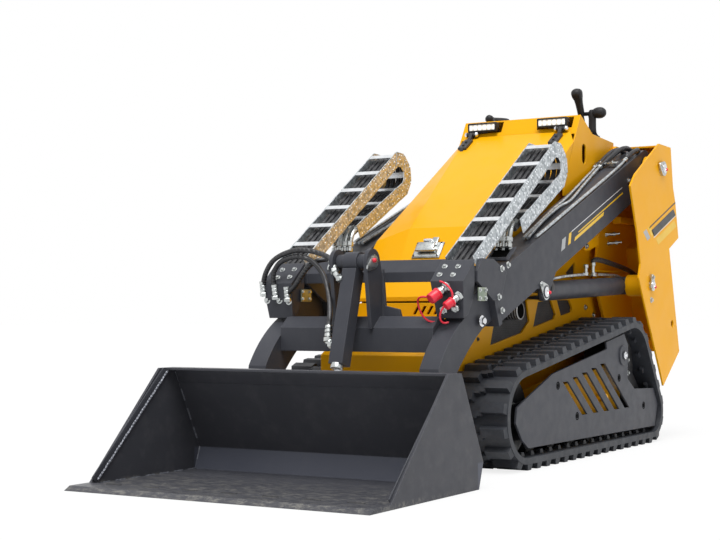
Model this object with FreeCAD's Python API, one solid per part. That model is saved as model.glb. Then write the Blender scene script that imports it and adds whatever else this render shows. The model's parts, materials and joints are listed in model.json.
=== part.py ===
import FreeCAD, Part
import math
import os

os.makedirs("parts", exist_ok=True)

# Compact track loader with a telescopic loader arm, in millimetres.
# While a piece is modelled, X points forward from the arm pivot axis, Y to the machine's left
# and Z up from the ground. The export moves everything so that X is zero at mid length.
V = FreeCAD.Vector

# ---------------------------------------------------------------- driving dimensions
# Loader arm
pivot_height = 1149.0          # arm pivot pin above the ground
boom_angle = 21.2              # how far the lowered boom slopes down to the front
boom_length = 1564.0           # pivot to the front end of the outer boom
boom_centre = 342.0            # side plane of each boom
boom_width = 110.0
boom_height = 165.0
boom_wall = 10.0
boom_solid_end = 130.0         # solid knuckle round the pivot
pivot_pin_radius = 30.0
pin_clearance = 0.05
inner_width = 72.0             # telescoping inner boom
inner_height = 131.0
inner_wall = 8.0
inner_inside = 1100.0          # length of inner boom held inside the outer one
slide_fit = 0.4
wear_pad_length = 60.0

# Bucket
bucket_width = 1120.0
bucket_plate = 8.0
bucket_height = 367.0
bucket_reach = 752.0           # bucket pivot to the cutting edge
bucket_pivot_height = 128.0
bucket_pivot_forward = 1803.0  # bucket pivot ahead of the arm pivot
side_front_back = 103.0        # side plate's lower front corner behind the cutting edge
side_top_ahead = 289.0         # the bucket's back, measured ahead of its pivot
back_top_ahead = 204.0
heel_top_ahead = 62.0
heel_ahead = 92.0
heel_top_height = 83.0
lip_depth = 52.0
edge_thickness = 14.0
edge_depth = 118.0
edge_bevel = 26.0
attach_half_width = 412.0
attach_plate = 16.0
attach_top = 60.0              # attach frame's ends, measured down the bucket's back
attach_bottom = 308.0
ear_plate = 12.0
ear_gap = 6.0
ear_eye_radius = 42.0
bucket_pin_radius = 19.0
tilt_lug_plate = 12.0
tilt_lug_gap = 4.0
tilt_eye_down = 161.4          # tilt pin, measured down and off the bucket's back
tilt_eye_off = 88.1
tilt_eye_radius = 32.0

# Inner boom head
neck_boss_radius = 50.0
neck_start = 1694.0            # where the straight inner boom turns down into its neck
cross_beam_back = 78.0         # inner cross beam behind the bucket pivot
cross_beam_depth = 90.0
cross_beam_height = 82.0
cross_beam_drop = 36.4         # its front face's top edge below the start of the neck
cross_beam_crown = 38.0
tilt_pin_back = 80.0           # tilt cylinder's upper pin behind the bucket pivot
tilt_pin_rise = 188.6          # and above the start of the neck
tilt_pin_radius = 17.0
tilt_bracket_inner = 62.0
tilt_bracket_plate = 14.0
tilt_bracket_radius = 44.0
tilt_wing_plate = 12.0
block_half_width = 62.0
block_foot_half_width = 46.5

# Tilt cylinder
tilt_barrel_size = 54.0
tilt_rod_shown = 117.7         # bare rod between the barrel and the eye's centre
tilt_rod_inside = 240.0
tilt_rod_radius = 14.0
tilt_eye_width = 44.0
tilt_trunnion_radius = 26.0
rod_end_room = 60.0            # bore behind a rod's inner end

# Lift cylinders
lift_base_ahead = 144.0        # base pin ahead of the arm pivot
lift_base_height = 653.0
lift_rod_along = 1155.5        # rod pin along the boom from the arm pivot
lift_rod_below = 117.0         # and square below the boom's centreline
lift_barrel_radius = 37.0
lift_rod_shown = 91.5
lift_rod_inside = 560.0
lift_rod_radius = 20.0
lift_eye_radius = 29.0
lift_eye_width = 76.0
lift_base_eye_width = 52.0
lift_pin_radius = 18.0
lift_bracket_plate = 12.0

# Tracks
track_inner = 240.0
track_width = 230.0
belt_thickness = 22.0
lug_height = 22.0
lug_pitch = 78.0               # along one row; the two rows are half a pitch apart
lug_taper = 4.0                # how much each end of a lug leans in by its tip
lug_row_gap = 4.0
front_idler_forward = 1342.0
front_idler_height = 185.0
rear_idler_forward = 119.0
rear_idler_height = 130.0
sprocket_forward = 330.0
sprocket_height = 320.0
sprocket_outer = 203.0
running_gap = 0.3
idler_half_width = 42.0
hub_radius = 30.0
roller_half_width = 36.0
roller_radius = 42.0
roller_count = 6
guard_thickness = 8.0
guard_outer = 457.0
guard_slots = 5
guard_slot_width = 50.0
guard_slot_pitch = 107.0
guard_slot_first = 790.0       # rear corner at the foot of the foremost slot
guard_slot_foot = 160.0
guard_slot_rise = 132.0        # the foremost slot's height, and how much each one behind it gains
guard_slot_gain = 13.4
guard_slot_lean = 36.5         # slope of the slots, in degrees
guard_hole_radius = 9.0
frame_half_width = 46.0

# Hull
hull_half_width = 235.0
hull_plate = 8.0
hull_front = 1575.0
hull_bottom = 170.0
hull_rear = 30.0
hull_front_top = 400.0
vent_foot_forward = 1330.0
vent_foot_height = 530.0
vent_top_height = 584.0
vent_slots = 6
vent_slot_first = 5.0
vent_slot_pitch = 28.0
vent_slot_width = 12.0
vent_slot_height = 30.0
vent_slot_lean = 17.0

# Hood
hood_plate = 5.0
hood_seam_forward = 430.0
hood_seam_height = 1284.0
hood_crease_forward = 1108.0
hood_crease_height = 869.0
hood_toe_forward = 1316.0
hood_toe_height = 606.0
hood_toe_bottom = 590.0
hood_seam_half = 265.0
hood_front_half = 278.0
hood_skirt = 95.0
hood_seam_gap = 6.0
hinge_side = 205.0
hinge_strap = 14.0
hood_knuckle = 9.0
hood_pin = 5.0

# Cowl, console and rear housing
cowl_half_width = 265.0
cowl_plate = 6.0
cowl_top_height = 1355.0
cowl_top_forward = 385.0
console_height = 1285.0
console_rear_height = 1268.0
housing_front = 25.0
housing_rear = -75.0
housing_bottom = 200.0
pad_depth = 55.0
pad_half_width = 190.0
pad_bottom = 850.0
pad_height = 300.0
louvre_count = 8
louvre_half_width = 160.0
louvre_height = 14.0
louvre_pitch = 36.0
louvre_bottom = 500.0

# Hand controls on the console
console_half_width = 215.0
stick_side = 150.0
stick_foot = 80.0              # forward places of the joystick's foot and of its knob
stick_head = 149.0
stick_top = 1500.0
stick_knob_radius = 24.0
stick_neck_radius = 11.0
stick_straight = 40.0
grip_post_side = 194.0
grip_bar_start = 149.0
grip_forward = 90.0
grip_side = 226.0
grip_height = 1394.0
grip_half_length = 30.0
grip_radius = 21.0
grip_bar_radius = 9.0
grip_post_radius = 14.0
lever_side = -170.0
lever_foot = 150.0
lever_head = 345.0
lever_height = 1385.0
lever_drop = 16.0
lever_radius = 8.0
lever_knob_radius = 18.0

# Towers
tower_outer = 470.0
tower_outer_plate = 8.0
tower_inner_plate = 12.0
tower_roof_rise = 104.0        # roof above the arm pivot
tower_rear_plate = 8.0
pivot_boss_radius = 55.0
lift_boss_radius = 45.0
boss_gap = 5.0
rear_tie_down_ahead = -110.0
rear_tie_down_height = 490.0
tie_down_radius = 16.0
front_tie_down_reach = 40.0
front_tie_down_height = 245.0
front_tie_down_side = 173.0
front_tie_down_plate = 14.0

# Operator platform
platform_half_width = 230.0
platform_length = 350.0
platform_height = 205.0
platform_plate = 8.0
platform_rim = 45.0
hinge_radius = 9.0
hinge_lug_plate = 12.0
hinge_lug_height = 50.0
hinge_lug_clear = 62.0         # how far back the deck's corners are cut away round the lugs

# Cable chains
chain_width = 109.0
chain_height = 58.0
chain_bend_radius = 92.0
chain_bend_along = 869.6       # centre of the bend along the boom and square above it
chain_bend_above = 277.2
chain_upper_run = 780.0
chain_lower_run = 382.0
chain_upper_dip = 12.5         # how much steeper than the boom each run lies, in degrees
chain_lower_dip = 6.6
chain_side_plate = 9.0
chain_bar_width = 24.0
chain_bar_pitch = 130.0
chain_bar_depth = 5.0          # how far the hoses lie inside the cross bars
chain_bend_links = 6
chain_stand_plate = 8.0

# Engine, exhaust, vents and lamps
engine_rear = 180.0
engine_front = 900.0
engine_half_width = 170.0
engine_bottom = 300.0
engine_top = 760.0
engine_foot = 60.0
exhaust_forward = 1003.0
exhaust_height = 553.0
exhaust_radius = 33.0
exhaust_clear = 3.0
exhaust_wall = 4.0
exhaust_bore_depth = 45.0
lamp_side = 160.0
lamp_width = 134.0
lamp_height = 39.0
lamp_depth = 35.0
lamp_foot = 4.0
lamp_recess_margin = 11.0
cowl_slot_forward = 351.0
cowl_slot_bottom = 1153.0
cowl_slot_width = 40.0
cowl_slot_height = 83.0
grille_plate = 3.0

# ---------------------------------------------------------------- worked out from the above
boom_cos = math.cos(math.radians(boom_angle))
boom_sin = math.sin(math.radians(boom_angle))
tower_roof_height = pivot_height + tower_roof_rise
bucket_tip = bucket_pivot_forward + bucket_reach
platform_hinge = housing_rear - hinge_radius - 6.0
platform_rear = platform_hinge - platform_length
mid_length = (bucket_tip + platform_rear) / 2.0
hood_hinge = (hood_seam_forward + 14.0, hood_seam_height + 10.0)
bucket_pivot = (bucket_pivot_forward, bucket_pivot_height)


def on_boom(along, above):
    """Point (x, z) a distance along the boom's centreline and square above it."""
    x = along * boom_cos + above * boom_sin
    z = pivot_height - along * boom_sin + above * boom_cos
    return (x, z)


def plate_y(outline, y_low, y_high):
    """A plate with an (x, z) outline between two side planes."""
    corners = [V(x, y_low, z) for x, z in outline]
    wire = Part.makePolygon(corners + [corners[0]])
    return Part.Face(wire).extrude(V(0, y_high - y_low, 0))


def boom_plate(outline, y_low, y_high):
    """A plate whose outline is given along the boom and square above it."""
    return plate_y([on_boom(along, above) for along, above in outline], y_low, y_high)


def plate_x(outline, x_low, x_high):
    """A plate with a (y, z) outline between two cross planes."""
    corners = [V(x_low, y, z) for y, z in outline]
    wire = Part.makePolygon(corners + [corners[0]])
    return Part.Face(wire).extrude(V(x_high - x_low, 0, 0))


def block(x_low, x_high, y_low, y_high, z_low, z_high):
    return Part.makeBox(x_high - x_low, y_high - y_low, z_high - z_low, V(x_low, y_low, z_low))


def pin_y(centre, radius, y_low, y_high):
    return Part.makeCylinder(radius, y_high - y_low, V(centre[0], y_low, centre[1]), V(0, 1, 0))


def bar(start, end, radius):
    """A round bar between two (x, y, z) points."""
    a = V(*start)
    b = V(*end)
    return Part.makeCylinder(radius, (b - a).Length, a, b - a)


def mirrored(shape):
    """The same piece on the machine's other side."""
    return shape.mirror(V(0, 0, 0), V(0, 1, 0))


def both_sides(shape):
    return shape.fuse(mirrored(shape))


def fused(shapes):
    return shapes[0].multiFuse(shapes[1:]).removeSplitter()


def lug(base_a, base_b, eye, radius, y_low, y_high):
    """A plate that tapers from a base line to a round eye."""
    mid_x = (base_a[0] + base_b[0]) / 2.0
    mid_z = (base_a[1] + base_b[1]) / 2.0
    run_x = eye[0] - mid_x
    run_z = eye[1] - mid_z
    run = math.hypot(run_x, run_z)
    side_x = -run_z / run * radius
    side_z = run_x / run * radius
    left = (eye[0] + side_x, eye[1] + side_z)
    right = (eye[0] - side_x, eye[1] - side_z)
    cross_a = (base_a[0] - mid_x) * side_x + (base_a[1] - mid_z) * side_z
    order = [base_a, base_b, right, left] if cross_a > 0 else [base_a, base_b, left, right]
    return plate_y(order, y_low, y_high).fuse(pin_y(eye, radius, y_low, y_high))


def unit(a, b):
    run = math.hypot(b[0] - a[0], b[1] - a[1])
    return ((b[0] - a[0]) / run, (b[1] - a[1]) / run, run)


def along_line(a, b, distance):
    """Point a distance from a towards b, and on past b or back behind a."""
    dx, dz, run = unit(a, b)
    return (a[0] + dx * distance, a[1] + dz * distance)


def beside(points, distance):
    """The same open line moved square to itself, to the left of its run."""
    moved = []
    for number, (x, z) in enumerate(points):
        before = points[max(number - 1, 0)]
        after = points[min(number + 1, len(points) - 1)]
        arrive = unit(before, (x, z)) if number > 0 else unit((x, z), after)
        leave = unit((x, z), after) if number < len(points) - 1 else arrive
        share = distance / (1.0 + arrive[0] * leave[0] + arrive[1] * leave[1])
        moved.append((x - (arrive[1] + leave[1]) * share, z + (arrive[0] + leave[0]) * share))
    return moved


def save(shape, name):
    shape.translate(V(-mid_length, 0, 0))
    shape.exportStep("parts/" + name + ".step")
    box = shape.BoundBox
    low = (round(box.XMin), round(box.YMin), round(box.ZMin))
    high = (round(box.XMax), round(box.YMax), round(box.ZMax))
    print(name, len(shape.Solids), shape.isValid(), low, high)


# ---------------------------------------------------------------- tracks
def belt_circles(inset):
    """The three wheels a track runs round, as (x, z, radius), inset from the lug tips."""
    return [
        (front_idler_forward, front_idler_height, front_idler_height - inset),
        (sprocket_forward, sprocket_height, sprocket_outer - inset),
        (rear_idler_forward, rear_idler_height, rear_idler_height - inset),
    ]


def loop_wire(inset, y_low):
    """The line of a belt drawn tight round the wheels."""
    circles = belt_circles(inset)
    tangents = []
    for number, here in enumerate(circles):
        after = circles[(number + 1) % len(circles)]
        run = math.hypot(after[0] - here[0], after[1] - here[1])
        heading = math.atan2(after[1] - here[1], after[0] - here[0])
        turn = math.acos((here[2] - after[2]) / run)
        normal = heading - turn
        tangents.append(normal)
    edges = []
    for number, here in enumerate(circles):
        after = circles[(number + 1) % len(circles)]
        arrive = tangents[number - 1]
        leave = tangents[number]
        while leave < arrive:
            leave += 2.0 * math.pi
        middle = (arrive + leave) / 2.0
        on_arc = []
        for angle in (arrive, middle, leave):
            x = here[0] + here[2] * math.cos(angle)
            z = here[1] + here[2] * math.sin(angle)
            on_arc.append(V(x, y_low, z))
        edges.append(Part.Arc(*on_arc).toShape())
        x = after[0] + after[2] * math.cos(leave)
        z = after[1] + after[2] * math.sin(leave)
        edges.append(Part.LineSegment(on_arc[2], V(x, y_low, z)).toShape())
    return Part.Wire(Part.__sortEdges__(edges))


track_mid = track_inner + track_width / 2.0


def make_track():
    """A belt of flats half a pitch long, with a lug on one half of each flat's width in turn."""
    path = loop_wire(lug_height, track_inner)
    flats = 2 * round(path.Length / lug_pitch)
    points = [(point.x, point.z) for point in path.discretize(Number=flats + 1)][:flats]
    middle = (sum(x for x, z in points) / flats, sum(z for x, z in points) / flats)
    belt = plate_y(points, track_inner, track_inner + track_width)
    inside = Part.Face(loop_wire(lug_height + belt_thickness, track_inner))
    belt = belt.cut(inside.extrude(V(0, track_width, 0)))
    rows = (
        (track_inner, track_mid - lug_row_gap / 2.0),
        (track_mid + lug_row_gap / 2.0, track_inner + track_width),
    )
    lugs = []
    for number in range(flats):
        start = points[number]
        end = points[(number + 1) % flats]
        tip_start = along_line(start, end, lug_taper)
        tip_end = along_line(end, start, lug_taper)
        side = lug_height
        if (end[0] - start[0]) * (middle[1] - start[1]) > (end[1] - start[1]) * (middle[0] - start[0]):
            side = -lug_height
        tip_start, tip_end = beside([tip_start, tip_end], side)
        low, high = rows[number % 2]
        lugs.append(plate_y([start, end, tip_end, tip_start], low, high))
    return fused([belt] + lugs)


wheel_inset = lug_height + belt_thickness + running_gap


def wheel(centre, radius, half_width):
    """A wheel with a hub that reaches the track frame's side plates."""
    tread = pin_y(centre, radius, track_mid - half_width, track_mid + half_width)
    hub = pin_y(centre, hub_radius, track_mid - frame_half_width, track_mid + frame_half_width)
    return fused([tread, hub])


def make_idlers():
    front, sprocket, rear = belt_circles(wheel_inset)
    return [wheel(circle[:2], circle[2], idler_half_width) for circle in (front, rear)]


def make_sprocket():
    x, z, radius = belt_circles(wheel_inset)[1]
    return wheel((x, z), radius, idler_half_width)


roller_first = rear_idler_forward + 145.0
roller_last = front_idler_forward - 175.0
roller_height = lug_height + belt_thickness + running_gap + roller_radius


def make_rollers():
    rollers = []
    for number in range(roller_count):
        x = roller_first + (roller_last - roller_first) * number / (roller_count - 1)
        rollers.append(wheel((x, roller_height), roller_radius, roller_half_width))
    return rollers


def frame_plate(y_low, y_high):
    """One side of the track frame: a long low plate that rises to the sprocket."""
    outline = [
        (rear_idler_forward - 40, 100),
        (front_idler_forward + 30, 100),
        (front_idler_forward + 30, 225),
        (front_idler_forward - 250, 250),
        (sprocket_forward + 210, 330),
        (sprocket_forward + 60, 380),
        (sprocket_forward - 60, 350),
        (rear_idler_forward - 40, 170),
    ]
    return plate_y(outline, y_low, y_high)


def make_track_frame():
    inner_side = frame_plate(track_mid - frame_half_width - 10, track_mid - frame_half_width)
    outer_side = frame_plate(track_mid + frame_half_width, track_mid + frame_half_width + 10)
    spine = block(sprocket_forward + sprocket_outer, roller_last, track_mid - frame_half_width,
                  track_mid + frame_half_width, roller_height + roller_radius + 6, 200)
    carriers = []
    for x in (sprocket_forward + 230, front_idler_forward - 330):
        carriers.append(block(x, x + 90, hull_half_width, track_mid - frame_half_width - 10, 185, 245))
    stand_offs = []
    for x, z in ((front_idler_forward - 280, 150), (sprocket_forward + 250, 210), (205, 159)):
        stand_offs.append(pin_y((x, z), 16, track_mid + frame_half_width + 10, guard_outer - guard_thickness))
    return fused([inner_side, outer_side, spine] + carriers + stand_offs)


guard_outline = [
    (1413, 168), (1364, 107), (1314, 75), (77, 66), (42, 155), (90, 224), (305, 232),
    (380, 276), (369, 411), (413, 457), (598, 428), (591, 401), (1102, 326), (1402, 221),
]


guard_holes = [(1060, 281), (888, 159), (470, 283), (205, 159)]


def make_guard():
    y_low = guard_outer - guard_thickness
    guard = plate_y(guard_outline, y_low, guard_outer)
    lean = math.radians(guard_slot_lean)
    for number in range(guard_slots):
        rear = guard_slot_first - guard_slot_pitch * number
        top = guard_slot_foot + guard_slot_rise + guard_slot_gain * number
        shift = (top - guard_slot_foot) / math.tan(lean)
        guard = guard.cut(plate_y([(rear, guard_slot_foot), (rear + guard_slot_width, guard_slot_foot),
                                   (rear + guard_slot_width + shift, top), (rear + shift, top)],
                                  y_low, guard_outer))
    for centre in guard_holes:
        guard = guard.cut(pin_y(centre, guard_hole_radius, y_low, guard_outer))
    return guard


# ---------------------------------------------------------------- hull
def make_hull():
    outline = [
        (hull_rear, hull_bottom),
        (hull_front, hull_bottom),
        (hull_front, hull_front_top),
        (vent_foot_forward, vent_foot_height),
        (vent_foot_forward - 4, vent_top_height), (vent_foot_forward - 35, vent_top_height),
        (1180, 700), (830, 925), (560, 1085), (520, 1100), (hull_rear + 12, 1100),
        (hull_rear + 12, 1006), (hull_rear, 1006),
    ]
    p = hull_plate
    hollow = [
        (hull_rear - 1, hull_bottom + p),
        (hull_front - p, hull_bottom + p),
        (hull_front - p, hull_front_top - 3),
        (vent_foot_forward - p, vent_foot_height - 7),
        (vent_foot_forward - 4 - p, vent_top_height + 4),
        (vent_foot_forward - 4 - p, 1300), (hull_rear - 1, 1300),
    ]
    hull = plate_y(outline, -hull_half_width, hull_half_width)
    hull = hull.cut(plate_y(hollow, -hull_half_width + p, hull_half_width - p))
    for window in side_windows:
        cut = plate_y(window, hull_half_width - p - 1, hull_half_width + 1)
        hull = hull.cut(both_sides(cut))
    hull = hull.cut(pin_y((exhaust_forward, exhaust_height), exhaust_radius + exhaust_clear,
                          hull_half_width - hull_plate - 1, hull_half_width + 1))
    for number in range(vent_slots):
        y = vent_slot_first + vent_slot_pitch * number
        low = (vent_foot_height + vent_top_height - vent_slot_height) / 2.0
        high = low + vent_slot_height
        lean = y + vent_slot_lean
        slot = [(y, low), (y + vent_slot_width, low), (lean + vent_slot_width, high), (lean, high)]
        hull = hull.cut(plate_x(slot, vent_foot_forward - 20, vent_foot_forward + 1))
    rest = plate_y([(1200, 690), (1200, 698), (560, 1068), (560, 1060)],
                   hull_half_width, hull_half_width + 18)
    eye = (hull_front + front_tie_down_reach, front_tie_down_height)
    low = front_tie_down_side - front_tie_down_plate / 2.0
    high = front_tie_down_side + front_tie_down_plate / 2.0
    tie_down = lug((hull_front, eye[1] - 45), (hull_front, eye[1] + 45), eye, tie_down_radius + 14, low, high)
    tie_down = tie_down.cut(pin_y(eye, tie_down_radius, low - 1, high + 1))
    return fused([hull, rest, mirrored(rest), tie_down, mirrored(tie_down)])


side_windows = [
    [(1127, 520), (1162, 427), (895, 468), (825, 513), (850, 600), (1090, 600)],
    [(746, 586), (793, 487), (596, 518), (582, 538), (624, 593)],
    [(568, 593), (528, 529), (423, 544), (418, 561), (443, 593)],
    [(480, 703), (386, 750), (388, 671)],
]


def make_grilles():
    """Mesh panels close behind the side windows."""
    panels = []
    y = hull_half_width - hull_plate
    for x_low, x_high, z_low, z_high in ((800, 1185, 415, 612), (405, 799.7, 475, 605), (370, 500, 660, 765)):
        panel = block(x_low, x_high, y - grille_plate, y, z_low, z_high)
        panels.append(panel)
        panels.append(mirrored(panel))
    return panels


# ---------------------------------------------------------------- hood
def hood_section(x, crown_half, crown_z, edge_half, edge_z, skirt_z):
    corners = [
        (-edge_half, skirt_z), (-edge_half, edge_z), (-crown_half, crown_z),
        (crown_half, crown_z), (edge_half, edge_z), (edge_half, skirt_z),
    ]
    points = [V(x, y, z) for y, z in corners]
    return Part.makePolygon(points + [points[0]])


def hood_body(inset, drop, below):
    seam_slope = (hood_seam_height - hood_crease_height) / (hood_crease_forward - hood_seam_forward)
    back = 60.0
    top = hood_seam_height + back * seam_slope
    sections = [
        hood_section(hood_seam_forward - back, 250 - inset, top - drop, hood_seam_half - inset,
                     top - 28 - drop, top - 28 - hood_skirt - below),
        hood_section(hood_crease_forward, 130 - inset, hood_crease_height - drop, hood_front_half - inset,
                     824 - drop, 824 - hood_skirt - below),
        hood_section(hood_toe_forward - inset, 100 - inset, hood_toe_height - drop * 1.3,
                     hood_front_half - inset, hood_toe_height - 5 - drop * 1.3, hood_toe_bottom - below),
    ]
    return Part.makeLoft(sections, True, True)


def seam_cutter(offset):
    """Everything behind the seam, which runs square to the hood's top."""
    slope = math.atan2(hood_seam_height - hood_crease_height, hood_crease_forward - hood_seam_forward)
    dx = math.sin(slope)
    dz = -math.cos(slope)
    top = (hood_seam_forward - offset - dx * 200, hood_seam_height - dz * 200)
    foot = (hood_seam_forward - offset + dx * 500, hood_seam_height + dz * 500)
    return [top, foot, (foot[0] - 900, foot[1]), (foot[0] - 900, top[1])]


def make_hood():
    shell = hood_body(0.0, 0.0, 0.0).cut(hood_body(hood_plate, hood_plate * 1.3, 40.0))
    return shell.cut(plate_y(seam_cutter(0.0), -400, 400))


def make_hood_hinges():
    """Two black straps on the hood that end in the hinge knuckles."""
    slope = (hood_seam_height - hood_crease_height) / (hood_crease_forward - hood_seam_forward)
    straps = []
    for side in (-1, 1):
        y = side * hinge_side - hinge_strap / 2.0
        foot = []
        for ahead, rise in ((22, 0), (112, 0), (108, 12), (22, 14)):
            foot.append((hood_seam_forward + ahead, hood_seam_height - slope * ahead + rise))
        strap = plate_y(foot, y, y + hinge_strap)
        arm = lug(foot[0], (foot[0][0] + 14, foot[0][1] + 6), hood_hinge, hood_knuckle, y, y + hinge_strap)
        pin = pin_y(hood_hinge, hood_pin, y - 14, y + hinge_strap + 14)
        straps.append(fused([strap, arm, pin]))
    return straps


def make_hinge_lugs():
    """Paired lugs on the cowl's front edge that carry the hood's hinge pins."""
    lugs = []
    for side in (-1, 1):
        for offset in (-hinge_strap / 2.0 - 12, hinge_strap / 2.0 + 2):
            y = side * hinge_side + offset
            ear = lug((422, 1288), (415, 1299), hood_hinge, hood_knuckle, y, y + 10)
            lugs.append(ear.cut(pin_y(hood_hinge, hood_pin + pin_clearance, y - 1, y + 11)))
    return lugs


# ---------------------------------------------------------------- cowl, console, housing
lamp_rear = hood_seam_forward - 25.0
lamp_bottom = hood_seam_height + 20.0


def make_cowl():
    outline = [
        (560, 1010), (560, 1180), (hood_seam_forward, hood_seam_height), (cowl_top_forward, cowl_top_height),
        (259, console_height), (hull_rear, console_rear_height), (hull_rear, 1010),
    ]
    p = cowl_plate
    hollow = [
        (561, 1009), (561, 1170), (hood_seam_forward, hood_seam_height - 2 * p),
        (cowl_top_forward - 3, cowl_top_height - 1.4 * p), (259, console_height - p),
        (hull_rear + p, console_rear_height - p), (hull_rear + p, 1009),
    ]
    cowl = plate_y(outline, -cowl_half_width, cowl_half_width)
    cowl = cowl.cut(plate_y(hollow, -cowl_half_width + p, cowl_half_width - p))
    behind = plate_y(seam_cutter(hood_seam_gap), -400, 400)
    cowl = cowl.common(behind)
    reach = cowl_slot_width / 2.0
    slot_low = cowl_slot_bottom + reach
    slot_high = cowl_slot_bottom + cowl_slot_height - reach
    slot = block(cowl_slot_forward - reach, cowl_slot_forward + reach, cowl_half_width - p - 1,
                 cowl_half_width + 1, slot_low, slot_high)
    for z in (slot_low, slot_high):
        slot = slot.fuse(pin_y((cowl_slot_forward, z), reach, cowl_half_width - p - 1, cowl_half_width + 1))
    cowl = cowl.cut(both_sides(slot))
    for y in (-lamp_side, lamp_side):
        reach = lamp_width / 2.0 + lamp_recess_margin
        cowl = cowl.cut(block(lamp_rear - 25, lamp_rear + 55, y - reach, y + reach, lamp_bottom - lamp_foot,
                              lamp_bottom + lamp_height + 4))
    ledge = block(hull_rear + 10, 470, hull_half_width, cowl_half_width - p, 1016, 1024)
    return fused([cowl, ledge, mirrored(ledge)])


def make_console():
    return block(60, 250, -console_half_width, console_half_width, console_height, console_deck)


console_deck = console_height + 14.0


def rod_through(points, radius):
    """A round rod that turns round balls at its inner points."""
    pieces = [bar(start, end, radius) for start, end in zip(points, points[1:])]
    return pieces + [Part.makeSphere(radius, V(*point)) for point in points[1:-1]]


def make_controls():
    """A joystick, a post with a side grip, and a lever on the other side."""
    head = (stick_head, stick_side, stick_top - stick_knob_radius)
    waist = (stick_foot, stick_side, console_deck + stick_straight)
    stick = rod_through([(stick_foot, stick_side, console_deck), waist, head], stick_neck_radius)
    stick.append(Part.makeSphere(stick_knob_radius, V(*head)))
    post = bar((grip_forward, grip_post_side, console_deck), (grip_forward, grip_post_side, grip_height),
               grip_post_radius)
    cross = pin_y((grip_forward, grip_height), grip_bar_radius, grip_bar_start, grip_side)
    grip = [post, cross]
    reach = grip_half_length - grip_radius
    grip.append(pin_y((grip_forward, grip_height), grip_radius, grip_side - reach, grip_side + reach))
    for y in (grip_side - reach, grip_side + reach):
        grip.append(Part.makeSphere(grip_radius, V(grip_forward, y, grip_height)))
    lever_bend = (lever_foot, lever_side, lever_height)
    lever_tip = (lever_head, lever_side, lever_height - lever_drop)
    lever = rod_through([(lever_foot, lever_side, console_deck), lever_bend, lever_tip], lever_radius)
    lever.append(Part.makeSphere(lever_knob_radius, V(*lever_tip)))
    return [fused(stick), fused(grip), fused(lever)]


def make_housing():
    shell = block(housing_rear, housing_front, -cowl_half_width, cowl_half_width, housing_bottom,
                  tower_roof_height - 10)
    hollow = block(housing_rear + 6, housing_front - 6, -cowl_half_width + 6, cowl_half_width - 6,
                   housing_bottom + 6, tower_roof_height - 16)
    shell = shell.cut(hollow)
    for number in range(louvre_count):
        z = louvre_bottom + louvre_pitch * number
        shell = shell.cut(block(housing_rear - 1, housing_rear + 7, -louvre_half_width, louvre_half_width,
                                z, z + louvre_height))
    for side in (-1, 1):
        near = min(side * (platform_half_width + 2), side * 300)
        far = max(side * (platform_half_width + 2), side * 300)
        shell = shell.cut(block(housing_rear - 1, housing_front + 1, near, far, housing_bottom - 1, 420))
    cheeks = block(housing_rear, housing_front, platform_half_width - 4, platform_half_width + 2,
                   housing_bottom, 420)
    shelf = block(housing_rear, housing_front, platform_half_width - 4, cowl_half_width, 420, 426)
    hinge = (platform_hinge, platform_height - platform_plate)
    ear = lug((housing_rear + 1, housing_bottom + 4), (housing_rear + 1, housing_bottom + hinge_lug_height),
              hinge, hinge_radius + 7, platform_half_width + 2 - hinge_lug_plate, platform_half_width + 2)
    shell = fused([shell, both_sides(cheeks), both_sides(shelf), both_sides(ear)])
    return shell.cut(pin_y(hinge, hinge_radius + pin_clearance, -300, 300))


# ---------------------------------------------------------------- towers
tower_rear_edge = [
    (-112, tower_roof_height - 5), (-136, pivot_height - 69), (-164, pivot_height - 137),
    (-198, pivot_height - 287), (-82, pivot_height - 337), (-195, 370),
]
tower_front_foot = [
    (4, 230), (17, 254), (lift_base_ahead + 133, lift_base_height + 28),
    (lift_base_ahead + 111, lift_base_height + 87),
]
tower_outline = [(29, tower_roof_height)] + tower_rear_edge + tower_front_foot + [
    (287, pivot_height - 288), (361, pivot_height - 96), (306, pivot_height - 45),
]
tower_inner_outline = [(29, tower_roof_height)] + tower_rear_edge + tower_front_foot + [
    (230, pivot_height - 288), (200, pivot_height - 96), (150, pivot_height + 1),
]


def make_tower():
    outer = plate_y(tower_outline, tower_outer - tower_outer_plate, tower_outer)
    inner = plate_y(tower_inner_outline, cowl_half_width, cowl_half_width + tower_inner_plate)
    y_low = cowl_half_width + tower_inner_plate
    y_high = tower_outer - tower_outer_plate
    inner_face = beside(tower_rear_edge, tower_rear_plate)
    rear = plate_y(tower_rear_edge + inner_face[::-1], y_low, y_high)
    roof = plate_y([(-30, tower_roof_height - 8), (-30, tower_roof_height), (-112, tower_roof_height - 5),
                    (-112, tower_roof_height - 13)], y_low, y_high)
    shelf = block(-178, -50, y_low, y_high, 420, 428)
    lift_low = boom_centre - lift_base_eye_width / 2.0 - boss_gap
    lift_high = boom_centre + lift_base_eye_width / 2.0 + boss_gap
    bosses = [
        pin_y((0, pivot_height), pivot_boss_radius, y_low, boom_centre - boom_width / 2.0 - boss_gap),
        pin_y((0, pivot_height), pivot_boss_radius, boom_centre + boom_width / 2.0 + boss_gap, y_high),
        pin_y((lift_base_ahead, lift_base_height), lift_boss_radius, y_low, lift_low),
        pin_y((lift_base_ahead, lift_base_height), lift_boss_radius, lift_high, y_high),
    ]
    tower = fused([outer, inner, rear, roof, shelf] + bosses)
    for centre, radius in (((0, pivot_height), pivot_pin_radius),
                           ((lift_base_ahead, lift_base_height), lift_pin_radius)):
        tower = tower.cut(pin_y(centre, radius, cowl_half_width - 1, tower_outer + 1))
    tower = tower.cut(pin_y((rear_tie_down_ahead, rear_tie_down_height), tie_down_radius,
                            tower_outer - tower_outer_plate - 1, tower_outer + 1))
    return tower


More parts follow.
